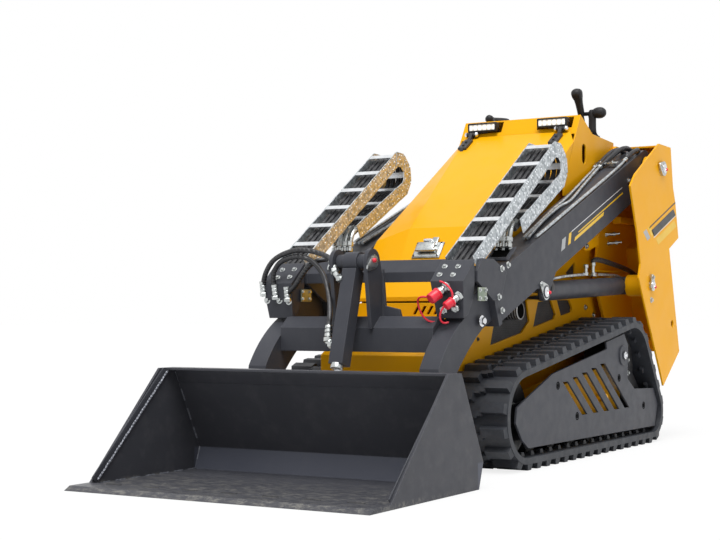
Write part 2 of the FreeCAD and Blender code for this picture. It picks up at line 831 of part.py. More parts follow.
def make_tower_pins():
    """The arm pivot pin and lift cylinder's base pin, with their keeper plates."""
    arm_pin = pin_y((0, pivot_height), pivot_pin_radius, cowl_half_width, tower_outer + 6)
    base_pin = pin_y((lift_base_ahead, lift_base_height), lift_pin_radius, cowl_half_width, tower_outer + 6)
    return [arm_pin, base_pin]


# ---------------------------------------------------------------- loader arm
boom_low = boom_centre - boom_width / 2.0
boom_high = boom_centre + boom_width / 2.0
inner_low = boom_centre - inner_width / 2.0
inner_high = boom_centre + inner_width / 2.0


def boom_box(start, end, half_height, y_low, y_high):
    corners = [
        on_boom(start, -half_height), on_boom(end, -half_height),
        on_boom(end, half_height), on_boom(start, half_height),
    ]
    return plate_y(corners, y_low, y_high)


chain_tray_half = 50.0
gusset_outline = [
    (1450.7, 70.4), (1522.4, 1.7), (1582.0, 14.0), (1670.4, 118.0), (1657.7, 150.7), (1611.4, 178.8),
    (1530.3, 147.4),
]
beam_outline = [(1575.3, 86.5), (1670.4, 118.0), (1657.7, 150.7), (1604.9, 176.3), (1548.9, 154.6)]
chain_stand_outline = [
    (1176.0, 148.3), (1238.8, 141.1), (1288.5, 93.3), (1295.0, 76.5), (1203.8, 76.5),
]
lift_eye = on_boom(lift_rod_along, -lift_rod_below)


def make_outer_boom():
    half = boom_height / 2.0
    boom = boom_box(0.0, boom_length, half, boom_low, boom_high)
    boom = boom.fuse(pin_y((0, pivot_height), half, boom_low, boom_high))
    collar = boom_box(boom_length - 24, boom_length, half + 6, boom_low - 6, boom_high + 6)
    gusset_in = boom_plate(gusset_outline, boom_low - 12, boom_low)
    gusset_out = boom_plate(gusset_outline, boom_high, boom_high + 12)
    top_a = on_boom(lift_rod_along - 120, -half)
    top_b = on_boom(lift_rod_along + 60, -half)
    ears = []
    for y in (boom_low, boom_high - lift_bracket_plate):
        ears.append(lug(top_a, top_b, lift_eye, lift_eye_radius + 4, y, y + lift_bracket_plate))
    heads = [pin_y(lift_eye, 24, boom_low - 8, boom_low), pin_y(lift_eye, 24, boom_high, boom_high + 8)]
    stand = boom_plate(chain_stand_outline, boom_centre - chain_tray_half, boom_centre + chain_tray_half)
    under = beside(chain_stand_outline[:4], -chain_stand_plate) + [(1300.0, half), (1190.0, half)]
    stand = stand.cut(boom_plate(under, boom_centre - chain_tray_half + chain_stand_plate,
                                 boom_centre + chain_tray_half - chain_stand_plate))
    boom = fused([boom, collar, gusset_in, gusset_out, stand] + ears + heads)
    cavity = boom_box(boom_solid_end, boom_length - wear_pad_length, half - boom_wall,
                      boom_low + boom_wall, boom_high - boom_wall)
    mouth = boom_box(boom_length - wear_pad_length - 1, boom_length + 1, inner_height / 2.0 + slide_fit,
                     inner_low - slide_fit, inner_high + slide_fit)
    bore = pin_y((0, pivot_height), pivot_pin_radius + pin_clearance, boom_low - 1, boom_high + 1)
    return boom.cut(cavity).cut(mouth).cut(bore)


def make_outer_beam():
    return boom_plate(beam_outline, -(boom_low - 12), boom_low - 12)


def bowed(a, b, bulge):
    """A third point for an arc from a to b that bows up by a small distance at mid span."""
    run = math.hypot(b[0] - a[0], b[1] - a[1])
    x = (a[0] + b[0]) / 2.0 - (b[1] - a[1]) / run * bulge
    z = (a[1] + b[1]) / 2.0 + (b[0] - a[0]) / run * bulge
    return (x, z)


def neck_solid():
    """The cranked head of the inner boom, down to the bucket pivot."""
    half = inner_height / 2.0
    x, z = bucket_pivot
    top = on_boom(neck_start, half)
    shoulder = on_boom(neck_start + 59, 16)
    front = (x + 15, z + 240)
    rear = (x - 110, z + 224)
    low = on_boom(neck_start - 54, -half)
    corners = {
        "tail_top": on_boom(neck_start - 70, half), "top": top, "shoulder": shoulder,
        "crown": bowed(shoulder, front, 16), "front": front,
        "toe_front": (x + neck_boss_radius - 2, z + 14), "toe_rear": (x - neck_boss_radius + 2, z + 14),
        "rear": rear, "throat": bowed(low, rear, 7.6), "low": low,
        "tail_low": on_boom(neck_start - 70, -half),
    }
    p = {name: V(corner[0], inner_low, corner[1]) for name, corner in corners.items()}
    edges = [
        Part.LineSegment(p["tail_top"], p["top"]).toShape(),
        Part.LineSegment(p["top"], p["shoulder"]).toShape(),
        Part.Arc(p["shoulder"], p["crown"], p["front"]).toShape(),
        Part.LineSegment(p["front"], p["toe_front"]).toShape(),
        Part.LineSegment(p["toe_front"], p["toe_rear"]).toShape(),
        Part.LineSegment(p["toe_rear"], p["rear"]).toShape(),
        Part.Arc(p["rear"], p["throat"], p["low"]).toShape(),
        Part.LineSegment(p["low"], p["tail_low"]).toShape(),
        Part.LineSegment(p["tail_low"], p["tail_top"]).toShape(),
    ]
    neck = Part.Face(Part.Wire(edges)).extrude(V(0, inner_width, 0))
    return neck.fuse(pin_y(bucket_pivot, neck_boss_radius, inner_low, inner_high))


def make_inner_boom():
    half = inner_height / 2.0
    tail = boom_length - inner_inside
    straight = boom_box(tail, neck_start - 60, half, inner_low, inner_high)
    pad = boom_box(tail, tail + 80, boom_height / 2.0 - boom_wall - slide_fit,
                   boom_low + boom_wall + slide_fit, boom_high - boom_wall - slide_fit)
    boom = fused([straight, pad, neck_solid()])
    hollow = boom_box(tail - 1, boom_length + 40, half - inner_wall, inner_low + inner_wall,
                      inner_high - inner_wall)
    bore = pin_y(bucket_pivot, bucket_pin_radius + pin_clearance, inner_low - 1, inner_high + 1)
    return boom.cut(hollow).cut(bore)


neck_height = on_boom(neck_start, 0)[1]
beam_rear = bucket_pivot_forward - cross_beam_back - cross_beam_depth
beam_front = bucket_pivot_forward - cross_beam_back
beam_top = neck_height - cross_beam_drop
beam_bottom = beam_top - cross_beam_height
tilt_pin = (bucket_pivot_forward - tilt_pin_back, neck_height + tilt_pin_rise)


def make_inner_beam():
    crown = beam_top + cross_beam_crown
    beam = plate_y([(beam_rear, beam_bottom), (beam_front, beam_bottom), (beam_front, beam_top),
                    (beam_front - 45, crown), (beam_rear + 15, crown), (beam_rear, crown - 18)],
                   -inner_low, inner_low)
    pieces = [beam]
    outside = tilt_bracket_inner + tilt_bracket_plate
    for y in (tilt_bracket_inner, -outside):
        pieces.append(lug((tilt_pin[0] - 102, beam_top + 30), (beam_front + 12, beam_top - 4), tilt_pin,
                          tilt_bracket_radius, y, y + tilt_bracket_plate))
    wing_rear = beam_rear + 15
    wing = plate_x([(outside - 1, crown - 10), (outside + 74, crown - 10), (outside + 64, crown + 24),
                    (outside + 9, crown + 36), (outside, tilt_pin[1] - 25), (outside - 1, tilt_pin[1] - 25)],
                   wing_rear, wing_rear + tilt_wing_plate)
    pieces += [wing, mirrored(wing), pin_y(tilt_pin, tilt_pin_radius, -outside, outside)]
    return fused(pieces)


block_outline = [(1780.1, 28.7), (1758.6, 153.3), (1655.1, 190.4), (1701.4, 71.1), (1747.4, 29.9)]
chain_tray_outline = [(1678.7, 132.0), (1602.4, 149.1), (1601.4, 143.8), (1681.0, 126.5)]


def make_coupler_block():
    solid = boom_plate(block_outline, boom_centre - block_half_width, boom_centre + block_half_width)
    foot = neck_height - 36
    waist = neck_height + 120
    head = neck_height + 224
    taper = plate_x([(boom_centre - block_foot_half_width, foot), (boom_centre + block_foot_half_width, foot),
                     (boom_centre + block_half_width, waist), (boom_centre + block_half_width, head),
                     (boom_centre - block_half_width, head), (boom_centre - block_half_width, waist)],
                    tilt_pin[0] - 223, tilt_pin[0] + 77)
    solid = solid.common(taper).cut(make_inner_boom()).cut(make_inner_beam())
    tray = boom_plate(chain_tray_outline, boom_centre - chain_tray_half, boom_centre + chain_tray_half)
    return fused([solid, tray])


# ---------------------------------------------------------------- bucket and attach frame
back_run = math.hypot(back_top_ahead - heel_top_ahead, bucket_height - heel_top_height)
down_x = -(back_top_ahead - heel_top_ahead) / back_run
down_z = -(bucket_height - heel_top_height) / back_run


def on_back(down, off):
    """Point (x, z) down the bucket's back from its top edge and off it to the rear."""
    x = bucket_pivot_forward + back_top_ahead + down * down_x + off * down_z
    z = bucket_height + down * down_z - off * down_x
    return (x, z)


def make_bucket():
    t = bucket_plate
    tip = bucket_tip
    half = bucket_width / 2.0
    heel = bucket_pivot_forward + heel_ahead
    heel_top = (bucket_pivot_forward + heel_top_ahead, heel_top_height)
    back_top = bucket_pivot_forward + back_top_ahead
    profile = [
        (tip, 0), (heel, 0), heel_top, (back_top, bucket_height), (back_top + lip_depth, bucket_height),
        (back_top + lip_depth, bucket_height - t), on_back(t, -t), (heel_top[0] + t * 1.1, heel_top_height),
        (heel + t * 0.7, t), (tip - edge_depth, t), (tip - edge_depth, edge_thickness),
        (tip - edge_bevel, edge_thickness),
    ]
    side = [
        (tip - side_front_back, 0), (bucket_pivot_forward + side_top_ahead, bucket_height),
        (back_top, bucket_height), heel_top, (heel, 0),
    ]
    shell = plate_y(profile, -half, half)
    left = plate_y(side, half - t, half)
    return fused([shell, left, mirrored(left)])


tilt_eye = on_back(tilt_eye_down, tilt_eye_off)
tilt_eye_half = tilt_eye_width / 2.0


def make_attach_frame():
    p = attach_plate
    sheet = plate_y([on_back(attach_top, 0), on_back(attach_bottom, 0), on_back(attach_bottom, p),
                     on_back(attach_top, p)], -attach_half_width, attach_half_width)
    pieces = [sheet]
    base_a = on_back(185, p - 1)
    base_b = on_back(attach_bottom, p - 1)
    for sign in (-1, 1):
        mid = sign * boom_centre
        for y in (mid - inner_width / 2.0 - ear_gap - ear_plate, mid + inner_width / 2.0 + ear_gap):
            pieces.append(lug(base_a, base_b, bucket_pivot, ear_eye_radius, y, y + ear_plate))
        reach = inner_width / 2.0 + ear_gap + ear_plate + 8
        pieces.append(pin_y(bucket_pivot, bucket_pin_radius, mid - reach, mid + reach))
    lug_a = on_back(tilt_eye_down - 60, p - 1)
    lug_b = on_back(tilt_eye_down + 60, p - 1)
    near = tilt_eye_half + tilt_lug_gap
    for y, head in ((near, near + tilt_lug_plate), (-near - tilt_lug_plate, -near - tilt_lug_plate - 10)):
        pieces.append(lug(lug_a, lug_b, tilt_eye, tilt_eye_radius, y, y + tilt_lug_plate))
        pieces.append(pin_y(tilt_eye, 22, head, head + 10))
    return fused(pieces)


# ---------------------------------------------------------------- cylinders
def make_tilt_barrel():
    dx, dz, run = unit(tilt_pin, tilt_eye)
    half = tilt_barrel_size / 2.0
    length = run - tilt_rod_shown
    corners = []
    for along, across in ((30, -half), (length, -half), (length, half), (30, half)):
        corners.append((tilt_pin[0] + dx * along - dz * across, tilt_pin[1] + dz * along + dx * across))
    barrel = plate_y(corners, -half, half)
    eye = pin_y(tilt_pin, 34, -half, half)
    side = tilt_bracket_inner - 3
    trunnion = pin_y(tilt_pin, tilt_trunnion_radius, -side, side)
    end = along_line(tilt_pin, tilt_eye, length)
    deep = along_line(tilt_pin, tilt_eye, length - tilt_rod_inside - rod_end_room)
    bore = bar((end[0], 0, end[1]), (deep[0], 0, deep[1]), tilt_rod_radius + pin_clearance)
    hole = pin_y(tilt_pin, tilt_pin_radius + pin_clearance, -side - 1, side + 1)
    return fused([barrel, eye, trunnion]).cut(bore).cut(hole)


def make_tilt_rod():
    run = unit(tilt_pin, tilt_eye)[2]
    start = along_line(tilt_pin, tilt_eye, run - tilt_rod_shown - tilt_rod_inside)
    rod = bar((start[0], 0, start[1]), (tilt_eye[0], 0, tilt_eye[1]), tilt_rod_radius)
    eye = pin_y(tilt_eye, tilt_eye_radius, -tilt_eye_half, tilt_eye_half)
    return fused([rod, eye])


lift_base = (lift_base_ahead, lift_base_height)


def make_lift_barrel():
    length = unit(lift_base, lift_eye)[2] - lift_rod_shown
    start = along_line(lift_base, lift_eye, lift_boss_radius + boss_gap + 2)
    end = along_line(lift_base, lift_eye, length)
    deep = along_line(lift_base, lift_eye, length - lift_rod_inside - rod_end_room)
    barrel = bar((start[0], boom_centre, start[1]), (end[0], boom_centre, end[1]), lift_barrel_radius)
    half = lift_base_eye_width / 2.0
    eye = pin_y(lift_base, lift_barrel_radius, boom_centre - half, boom_centre + half)
    neck = plate_y([(lift_base[0], lift_base[1] - 30), (start[0] + 10, start[1] - 30),
                    (start[0] + 10, start[1] + 30), (lift_base[0], lift_base[1] + 30)],
                   boom_centre - half + 4, boom_centre + half - 4)
    bore = bar((end[0], boom_centre, end[1]), (deep[0], boom_centre, deep[1]),
               lift_rod_radius + pin_clearance)
    hole = pin_y(lift_base, lift_pin_radius + pin_clearance, boom_centre - half - 12, boom_centre + half + 12)
    return fused([barrel, eye, neck]).cut(bore).cut(hole)


def make_lift_rod():
    run = unit(lift_base, lift_eye)[2]
    start = along_line(lift_base, lift_eye, run - lift_rod_shown - lift_rod_inside)
    rod = bar((start[0], boom_centre, start[1]), (lift_eye[0], boom_centre, lift_eye[1]), lift_rod_radius)
    half = lift_eye_width / 2.0
    eye = pin_y(lift_eye, lift_eye_radius, boom_centre - half, boom_centre + half)
    return fused([rod, eye])


# ---------------------------------------------------------------- cable chains
chain_centre = on_boom(chain_bend_along, chain_bend_above)
chain_up = math.radians(90.0 - boom_angle - chain_upper_dip)
chain_down = math.radians(270.0 - boom_angle - chain_lower_dip)


def chain_line(radius):
    """The chain's line at a radius round its bend: front end of the upper run, bend, lower run's end."""
    cx, cz = chain_centre
    bend = []
    for number in range(chain_bend_links + 1):
        angle = chain_up + (chain_down - chain_up) * number / chain_bend_links
        bend.append((cx + radius * math.cos(angle), cz + radius * math.sin(angle)))
    upper_end = (bend[0][0] + chain_upper_run * math.sin(chain_up),
                 bend[0][1] - chain_upper_run * math.cos(chain_up))
    lower_end = (bend[-1][0] - chain_lower_run * math.sin(chain_down),
                 bend[-1][1] + chain_lower_run * math.cos(chain_down))
    return [upper_end] + bend + [lower_end]


def chain_band(low, high, y_low, y_high):
    return plate_y(chain_line(high) + chain_line(low)[::-1], y_low, y_high)


def make_chain():
    """Two side plates, the bundle of hoses between them and the cross bars that hold it."""
    r_out = chain_bend_radius
    r_in = chain_bend_radius - chain_height
    low = boom_centre - chain_width / 2.0
    high = boom_centre + chain_width / 2.0
    pieces = [
        chain_band(r_in, r_out, low, low + chain_side_plate),
        chain_band(r_in, r_out, high - chain_side_plate, high),
        chain_band(r_in + chain_bar_depth, r_out - chain_bar_depth, low + chain_side_plate,
                   high - chain_side_plate),
    ]
    for inside, outside in ((r_in, r_in + chain_bar_depth), (r_out - chain_bar_depth, r_out)):
        for run in (slice(0, 2), slice(-2, None)):
            near = chain_line(inside)[run]
            far = chain_line(outside)[run]
            length = unit(*near)[2]
            bars = int(length / chain_bar_pitch) + 1
            gap = (length - chain_bar_width) / (bars - 1)
            for number in range(bars):
                start = gap * number
                end = start + chain_bar_width
                outline = [along_line(*near, start), along_line(*near, end), along_line(*far, end),
                           along_line(*far, start)]
                pieces.append(plate_y(outline, low + chain_side_plate, high - chain_side_plate))
    return fused(pieces)


# ---------------------------------------------------------------- platform
def make_platform():
    p = platform_plate
    deck = block(platform_rear, platform_hinge, -platform_half_width, platform_half_width,
                 platform_height - p, platform_height)
    rim = block(platform_rear, platform_rear + p, -platform_half_width, platform_half_width,
                platform_height - p - platform_rim, platform_height)
    knuckle = pin_y((platform_hinge, platform_height - p), hinge_radius, -platform_half_width,
                    platform_half_width)
    platform = fused([deck, rim, knuckle])
    corner = block(platform_hinge - hinge_lug_clear, platform_hinge + hinge_radius,
                   platform_half_width - hinge_lug_plate - 3, platform_half_width + 1,
                   platform_height - p - hinge_radius, platform_height + 1)
    platform = platform.cut(both_sides(corner))
    return platform.fuse(pin_y((platform_hinge, platform_height - p), hinge_radius, -platform_half_width,
                               platform_half_width))


def make_engine():
    engine = block(engine_rear, engine_front, -engine_half_width, engine_half_width, engine_bottom,
                   engine_top)
    feet = []
    for x in (engine_rear + 20, engine_front - 20 - engine_foot):
        foot = block(x, x + engine_foot, engine_half_width - 20 - engine_foot, engine_half_width - 20,
                     hull_bottom + hull_plate, engine_bottom)
        feet += [foot, mirrored(foot)]
    return fused([engine] + feet)


def make_exhaust():
    mouth = boom_low - boss_gap
    pipe = bar((exhaust_forward, hull_half_width - hull_plate, exhaust_height),
               (exhaust_forward, mouth, exhaust_height), exhaust_radius)
    return pipe.cut(bar((exhaust_forward, mouth - exhaust_bore_depth, exhaust_height),
                        (exhaust_forward, mouth + 1, exhaust_height), exhaust_radius - exhaust_wall))


def make_lamps():
    lamps = []
    for y in (-lamp_side, lamp_side):
        body = block(lamp_rear, lamp_rear + lamp_depth, y - lamp_width / 2.0, y + lamp_width / 2.0,
                     lamp_bottom, lamp_bottom + lamp_height)
        foot = block(lamp_rear + 3, lamp_rear + 25, y - 20, y + 20, lamp_bottom - lamp_foot, lamp_bottom)
        lamps.append(fused([body, foot]))
    return lamps


def make_pad():
    return block(housing_rear - pad_depth, housing_rear - 0.3, -pad_half_width, pad_half_width, pad_bottom,
                 pad_bottom + pad_height)


compound = Part.makeCompound
outer_left = make_outer_boom()
inner_left = make_inner_boom()
block_left = make_coupler_block()
tower_left = make_tower()
frame_left = make_track_frame()
track_left = make_track()
lift_barrel_left = make_lift_barrel()
lift_rod_left = make_lift_rod()
chain_left = make_chain()
guard_left = make_guard()
sprocket_left = make_sprocket()
idlers_left = make_idlers()
rollers_left = make_rollers()
pins_left = make_tower_pins()

nodes = {
    "hull": make_hull(),
    "hull_grilles": compound(make_grilles()),
    "engine_block": make_engine(),
    "exhaust_stub": make_exhaust(),
    "hood": make_hood(),
    "hood_hinges": compound(make_hood_hinges()),
    "hood_hinge_lugs": compound(make_hinge_lugs()),
    "cowl": make_cowl(),
    "console": make_console(),
    "drive_controls": compound(make_controls()),
    "rear_housing": make_housing(),
    "thigh_pad": make_pad(),
    "work_lamps": compound(make_lamps()),
    "tower_left": tower_left,
    "tower_right": mirrored(tower_left),
    "tower_pins": compound(pins_left + [mirrored(pin) for pin in pins_left]),
    "track_left": track_left,
    "track_right": mirrored(track_left),
    "track_frame_left": frame_left,
    "track_frame_right": mirrored(frame_left),
    "track_guards": compound([guard_left, mirrored(guard_left)]),
    "drive_sprockets": compound([sprocket_left, mirrored(sprocket_left)]),
    "track_idlers": compound(idlers_left + [mirrored(wheel) for wheel in idlers_left]),
    "track_rollers": compound(rollers_left + [mirrored(wheel) for wheel in rollers_left]),
    "platform": make_platform(),
    "outer_boom_left": outer_left,
    "outer_boom_right": mirrored(outer_left),
    "outer_cross_beam": make_outer_beam(),
    "inner_boom_left": inner_left,
    "inner_boom_right": mirrored(inner_left),
    "inner_cross_beam": make_inner_beam(),
    "coupler_block_left": block_left,
    "coupler_block_right": mirrored(block_left),
    "bucket": make_bucket(),
    "attach_frame": make_attach_frame(),
    "tilt_barrel": make_tilt_barrel(),
    "tilt_rod": make_tilt_rod(),
    "lift_barrel_left": lift_barrel_left,
    "lift_barrel_right": mirrored(lift_barrel_left),
    "lift_rod_left": lift_rod_left,
    "lift_rod_right": mirrored(lift_rod_left),
    "cable_chain_left": chain_left,
    "cable_chain_right": mirrored(chain_left),
}
for name, shape in nodes.items():
    save(shape, name)
print("shift", mid_length, "tilt eye", tilt_eye, "nodes", len(nodes))
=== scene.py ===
import bpy
import json
import math
from mathutils import Matrix, Vector

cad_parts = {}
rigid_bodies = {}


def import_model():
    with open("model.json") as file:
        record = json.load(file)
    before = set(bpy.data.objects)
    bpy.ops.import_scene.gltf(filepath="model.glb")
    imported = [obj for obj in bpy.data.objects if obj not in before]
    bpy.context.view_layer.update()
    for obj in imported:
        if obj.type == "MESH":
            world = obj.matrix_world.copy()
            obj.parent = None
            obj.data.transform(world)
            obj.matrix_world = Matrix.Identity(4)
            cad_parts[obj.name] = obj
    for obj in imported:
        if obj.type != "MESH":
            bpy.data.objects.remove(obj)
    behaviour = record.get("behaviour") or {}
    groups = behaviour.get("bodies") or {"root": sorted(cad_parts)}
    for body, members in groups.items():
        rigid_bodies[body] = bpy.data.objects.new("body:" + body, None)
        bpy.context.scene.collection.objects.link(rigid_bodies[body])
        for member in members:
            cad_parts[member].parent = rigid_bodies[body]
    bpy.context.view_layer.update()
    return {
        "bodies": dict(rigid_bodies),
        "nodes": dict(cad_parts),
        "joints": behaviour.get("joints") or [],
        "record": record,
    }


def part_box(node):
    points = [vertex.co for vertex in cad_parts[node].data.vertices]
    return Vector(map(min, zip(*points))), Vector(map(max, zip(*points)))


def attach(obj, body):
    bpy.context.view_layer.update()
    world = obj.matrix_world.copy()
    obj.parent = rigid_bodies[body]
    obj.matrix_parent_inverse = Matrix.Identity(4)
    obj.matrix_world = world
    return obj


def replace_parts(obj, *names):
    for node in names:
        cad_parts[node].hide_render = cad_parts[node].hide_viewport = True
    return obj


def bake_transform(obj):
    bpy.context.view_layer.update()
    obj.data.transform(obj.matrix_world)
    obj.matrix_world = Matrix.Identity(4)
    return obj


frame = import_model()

nodes = frame["nodes"]
armPivot = [joint["pos_m"] for joint in frame["joints"] if joint["name"] == "arm_lift"][0]
boomSlope = math.radians(21.2)
boomSide = 342  # side plane of each boom, mm
bpy.context.scene.view_settings.view_transform = "Standard"
bpy.context.tool_settings.mesh_select_mode = (False, False, True)
print("frame loaded:", len(nodes), "nodes")


# machine sizes are in millimetres: x ahead of the arm pivot, y to the left, z above the ground
def at(x, y, z):
    return Vector((armPivot[0] + x / 1000, y / 1000, z / 1000))


def onBoom(along, above, y):
    x = along * math.cos(boomSlope) + above * math.sin(boomSlope)
    z = armPivot[2] * 1000 - along * math.sin(boomSlope) + above * math.cos(boomSlope)
    return at(x, y, z)


def addNode(tree, kind, **sockets):
    node = tree.nodes.new(kind)
    for name, value in sockets.items():
        node.inputs[name.replace("_", " ")].default_value = value
    return node


def spread(tree, source, low, high, fromLow=0.3, fromHigh=0.7):
    node = addNode(tree, "ShaderNodeMapRange", From_Min=fromLow, From_Max=fromHigh, To_Min=low, To_Max=high)
    tree.links.new(source, node.inputs["Value"])
    return node.outputs["Result"]


def blendColour(tree, factor, first, second):
    node = tree.nodes.new("ShaderNodeMix")
    node.data_type = "RGBA"
    tree.links.new(factor, node.inputs[0])
    for socket, value in ((node.inputs[6], first), (node.inputs[7], second)):
        if isinstance(value, (tuple, list)):
            socket.default_value = (*value, 1)
        else:
            tree.links.new(value, socket)
    return node.outputs[2]


def combine(tree, kind, *values):
    both = tree.nodes.new("ShaderNodeMath")
    both.operation = kind
    for socket, value in zip(both.inputs, values):
        if isinstance(value, float):
            socket.default_value = value
        else:
            tree.links.new(value, socket)
    return both.outputs[0]


def startMaterial(name):
    material = bpy.data.materials.new(name)
    material.use_nodes = True
    tree = material.node_tree
    place = tree.nodes.new("ShaderNodeTexCoord").outputs["Object"]
    return material, tree, tree.nodes["Principled BSDF"], place


def stretched(tree, place, scale):
    mapping = addNode(tree, "ShaderNodeMapping", Scale=scale)
    tree.links.new(place, mapping.inputs["Vector"])
    return mapping.outputs["Vector"]


def textureOver(tree, kind, place, **sockets):
    texture = addNode(tree, "ShaderNodeTex" + kind, **sockets)
    tree.links.new(place, texture.inputs["Vector"])
    return texture


def noiseOver(tree, place, scale, detail=4, roughness=0.5):
    return textureOver(tree, "Noise", place, Scale=scale, Detail=detail, Roughness=roughness).outputs["Fac"]


def addBump(tree, shader, height, strength, depth):
    bump = addNode(tree, "ShaderNodeBump", Strength=strength, Distance=depth)
    tree.links.new(height, bump.inputs["Height"])
    tree.links.new(bump.outputs["Normal"], shader.inputs["Normal"])
    return bump


# rounds the sharp plate edges to the eye and paints them lighter, a painted highlight along each edge
def softenEdges(tree, bump, colour, radius, edgeHighlightShare, lightened):
    soft = addNode(tree, "ShaderNodeBevel", Radius=radius)
    soft.samples = 6
    tree.links.new(soft.outputs["Normal"], bump.inputs["Normal"])
    flat = tree.nodes.new("ShaderNodeNewGeometry")
    apart = tree.nodes.new("ShaderNodeVectorMath")
    apart.operation = "DOT_PRODUCT"
    tree.links.new(soft.outputs["Normal"], apart.inputs[0])
    tree.links.new(flat.outputs["Normal"], apart.inputs[1])
    return blendColour(tree, spread(tree, apart.outputs["Value"], edgeHighlightShare, 0, 0.80, 0.985), colour, lightened)


# rework takes the tree, the place and the colour so far, and returns the colour to use
def layered(name, look, rework=None):
    material, tree, shader, place = startMaterial(name)
    first, second, scale = look["colours"]
    colour = blendColour(tree, spread(tree, noiseOver(tree, place, scale, 5), 0, 1), first, second)
    if "dust" in look:
        dust, scale, amount = look["dust"]
        fine = noiseOver(tree, place, scale, 8, 0.65)
        colour = blendColour(tree, spread(tree, fine, 0, amount, 0.5, 0.72), colour, dust)
    if "scratch" in look:
        scratch, scale, amount = look["scratch"]
        streak = noiseOver(tree, stretched(tree, place, (1, 14, 1)), scale, 3)
        colour = blendColour(tree, spread(tree, streak, 0, amount, 0.62, 0.7), colour, scratch)
    scale, low, high = look["rough"]
    tree.links.new(spread(tree, noiseOver(tree, place, scale, 6), low, high), shader.inputs["Roughness"])
    strength, depth, scale = look["bump"]
    if "ribs" in look:  # wound guard of a hose
        wave = textureOver(tree, "Wave", place, Scale=look["ribs"], Distortion=0.6, Detail=1)
        wave.bands_direction = "DIAGONAL"
        grain = wave.outputs["Fac"]
        # the grooves between the winds are painted darker, a painted shade
        colour = blendColour(tree, spread(tree, grain, 0.5, 0, 0.15, 0.5), colour, (0.003, 0.003, 0.003))
    else:
        grain = noiseOver(tree, place, scale, 3)
    bump = addBump(tree, shader, grain, strength, depth)
    shader.inputs["Metallic"].default_value = look.get("metallic", 0)
    shader.inputs["Specular IOR Level"].default_value = look.get("specular", 0.5)
    if "edge" in look:
        colour = softenEdges(tree, bump, colour, *look["edge"])
    if rework:
        colour = rework(tree, place, colour)
    tree.links.new(colour, shader.inputs["Base Color"])
    return material


# colours: both and the scale of their patches; dust and scratch: colour, scale, amount; rough: scale, low, high;
# bump: strength, depth, scale of the grain; edge: reach, amount and colour of the painted edge highlight
looks = {
    "yellowPaint": {"colours": ((0.87, 0.405, 0.002), (0.92, 0.435, 0.003), 1.6),
                    "dust": ((0.80, 0.45, 0.04), 9, 0.06), "rough": (14, 0.30, 0.42), "bump": (0.12, 0.0006, 420),
                    "specular": 0.16, "edge": (0.003, 0.25, (1.0, 0.62, 0.12))},
    "greyPaint": {"colours": ((0.050, 0.052, 0.062), (0.058, 0.060, 0.071), 2.0),
                  "dust": ((0.13, 0.128, 0.13), 16, 0.10), "scratch": ((0.14, 0.14, 0.15), 18, 0.07),
                  "rough": (22, 0.36, 0.50), "bump": (0.18, 0.0006, 520),
                  "specular": 0.17, "edge": (0.0035, 0.35, (0.20, 0.205, 0.22))},
    "blackPaint": {"colours": ((0.016, 0.016, 0.018), (0.030, 0.030, 0.032), 6),
                   "dust": ((0.12, 0.11, 0.10), 24, 0.25), "rough": (30, 0.35, 0.55), "bump": (0.2, 0.0006, 480)},
    "trackRubber": {"colours": ((0.014, 0.016, 0.022), (0.021, 0.024, 0.031), 7),
                    "dust": ((0.070, 0.077, 0.092), 32, 0.28), "specular": 0.6,
                    "rough": (26, 0.50, 0.68), "bump": (0.35, 0.0012, 300)},
    "hoseRubber": {"colours": ((0.014, 0.014, 0.016), (0.028, 0.028, 0.032), 40),
                   "dust": ((0.09, 0.09, 0.10), 140, 0.4), "rough": (60, 0.32, 0.50), "bump": (0.8, 0.0016, 260),
                   "ribs": 42},
    "zincPlate": {"colours": ((0.40, 0.42, 0.42), (0.60, 0.62, 0.61), 30),
                  "rough": (60, 0.22, 0.40), "bump": (0.25, 0.0004, 700), "metallic": 1.0},
    "chromeRod": {"colours": ((0.66, 0.67, 0.69), (0.76, 0.77, 0.79), 12),
                  "rough": (40, 0.06, 0.14), "bump": (0.05, 0.0002, 500), "metallic": 1.0},
    "brightBar": {"colours": ((0.66, 0.68, 0.70), (0.80, 0.82, 0.84), 30),
                  "rough": (60, 0.28, 0.42), "bump": (0.2, 0.0003, 600), "metallic": 0.9},
    "greenZinc": {"colours": ((0.20, 0.25, 0.20), (0.34, 0.37, 0.28), 26),
                  "rough": (50, 0.25, 0.45), "bump": (0.2, 0.0004, 600), "metallic": 0.8},
    "castIron": {"colours": ((0.10, 0.10, 0.105), (0.16, 0.16, 0.165), 12), "dust": ((0.20, 0.17, 0.13), 20, 0.4),
                 "rough": (30, 0.5, 0.75), "bump": (0.6, 0.002, 180), "metallic": 0.6},
    "mouldedPlastic": {"colours": ((0.010, 0.010, 0.012), (0.016, 0.016, 0.018), 18),
                       "rough": (60, 0.42, 0.58), "bump": (0.5, 0.0008, 650), "specular": 0.3},
    "redRubber": {"colours": ((0.72, 0.012, 0.035), (0.80, 0.03, 0.06), 30),
                  "rough": (60, 0.30, 0.45), "bump": (0.2, 0.0005, 300)},
    "padVinyl": {"colours": ((0.022, 0.022, 0.024), (0.034, 0.034, 0.036), 8),
                 "dust": ((0.08, 0.08, 0.08), 40, 0.2), "rough": (40, 0.42, 0.58), "bump": (0.5, 0.001, 380)},
    "weldBead": {"colours": ((0.12, 0.125, 0.15), (0.24, 0.25, 0.28), 110),
                 "rough": (80, 0.35, 0.5), "bump": (0.8, 0.002, 260), "metallic": 0.3},
    "steelCore": {"colours": ((0.30, 0.30, 0.30), (0.42, 0.42, 0.42), 30),
                  "rough": (50, 0.30, 0.5), "bump": (0.3, 0.0005, 400), "metallic": 0.9},
    # near-black finish for painted shade, laid where holes and hollows show only shade
    "paintedShadeBlack": {"colours": ((0.004, 0.004, 0.004), (0.006, 0.006, 0.006), 20),
                  "rough": (30, 0.85, 0.95), "bump": (0.1, 0.0003, 300), "specular": 0.02},
}
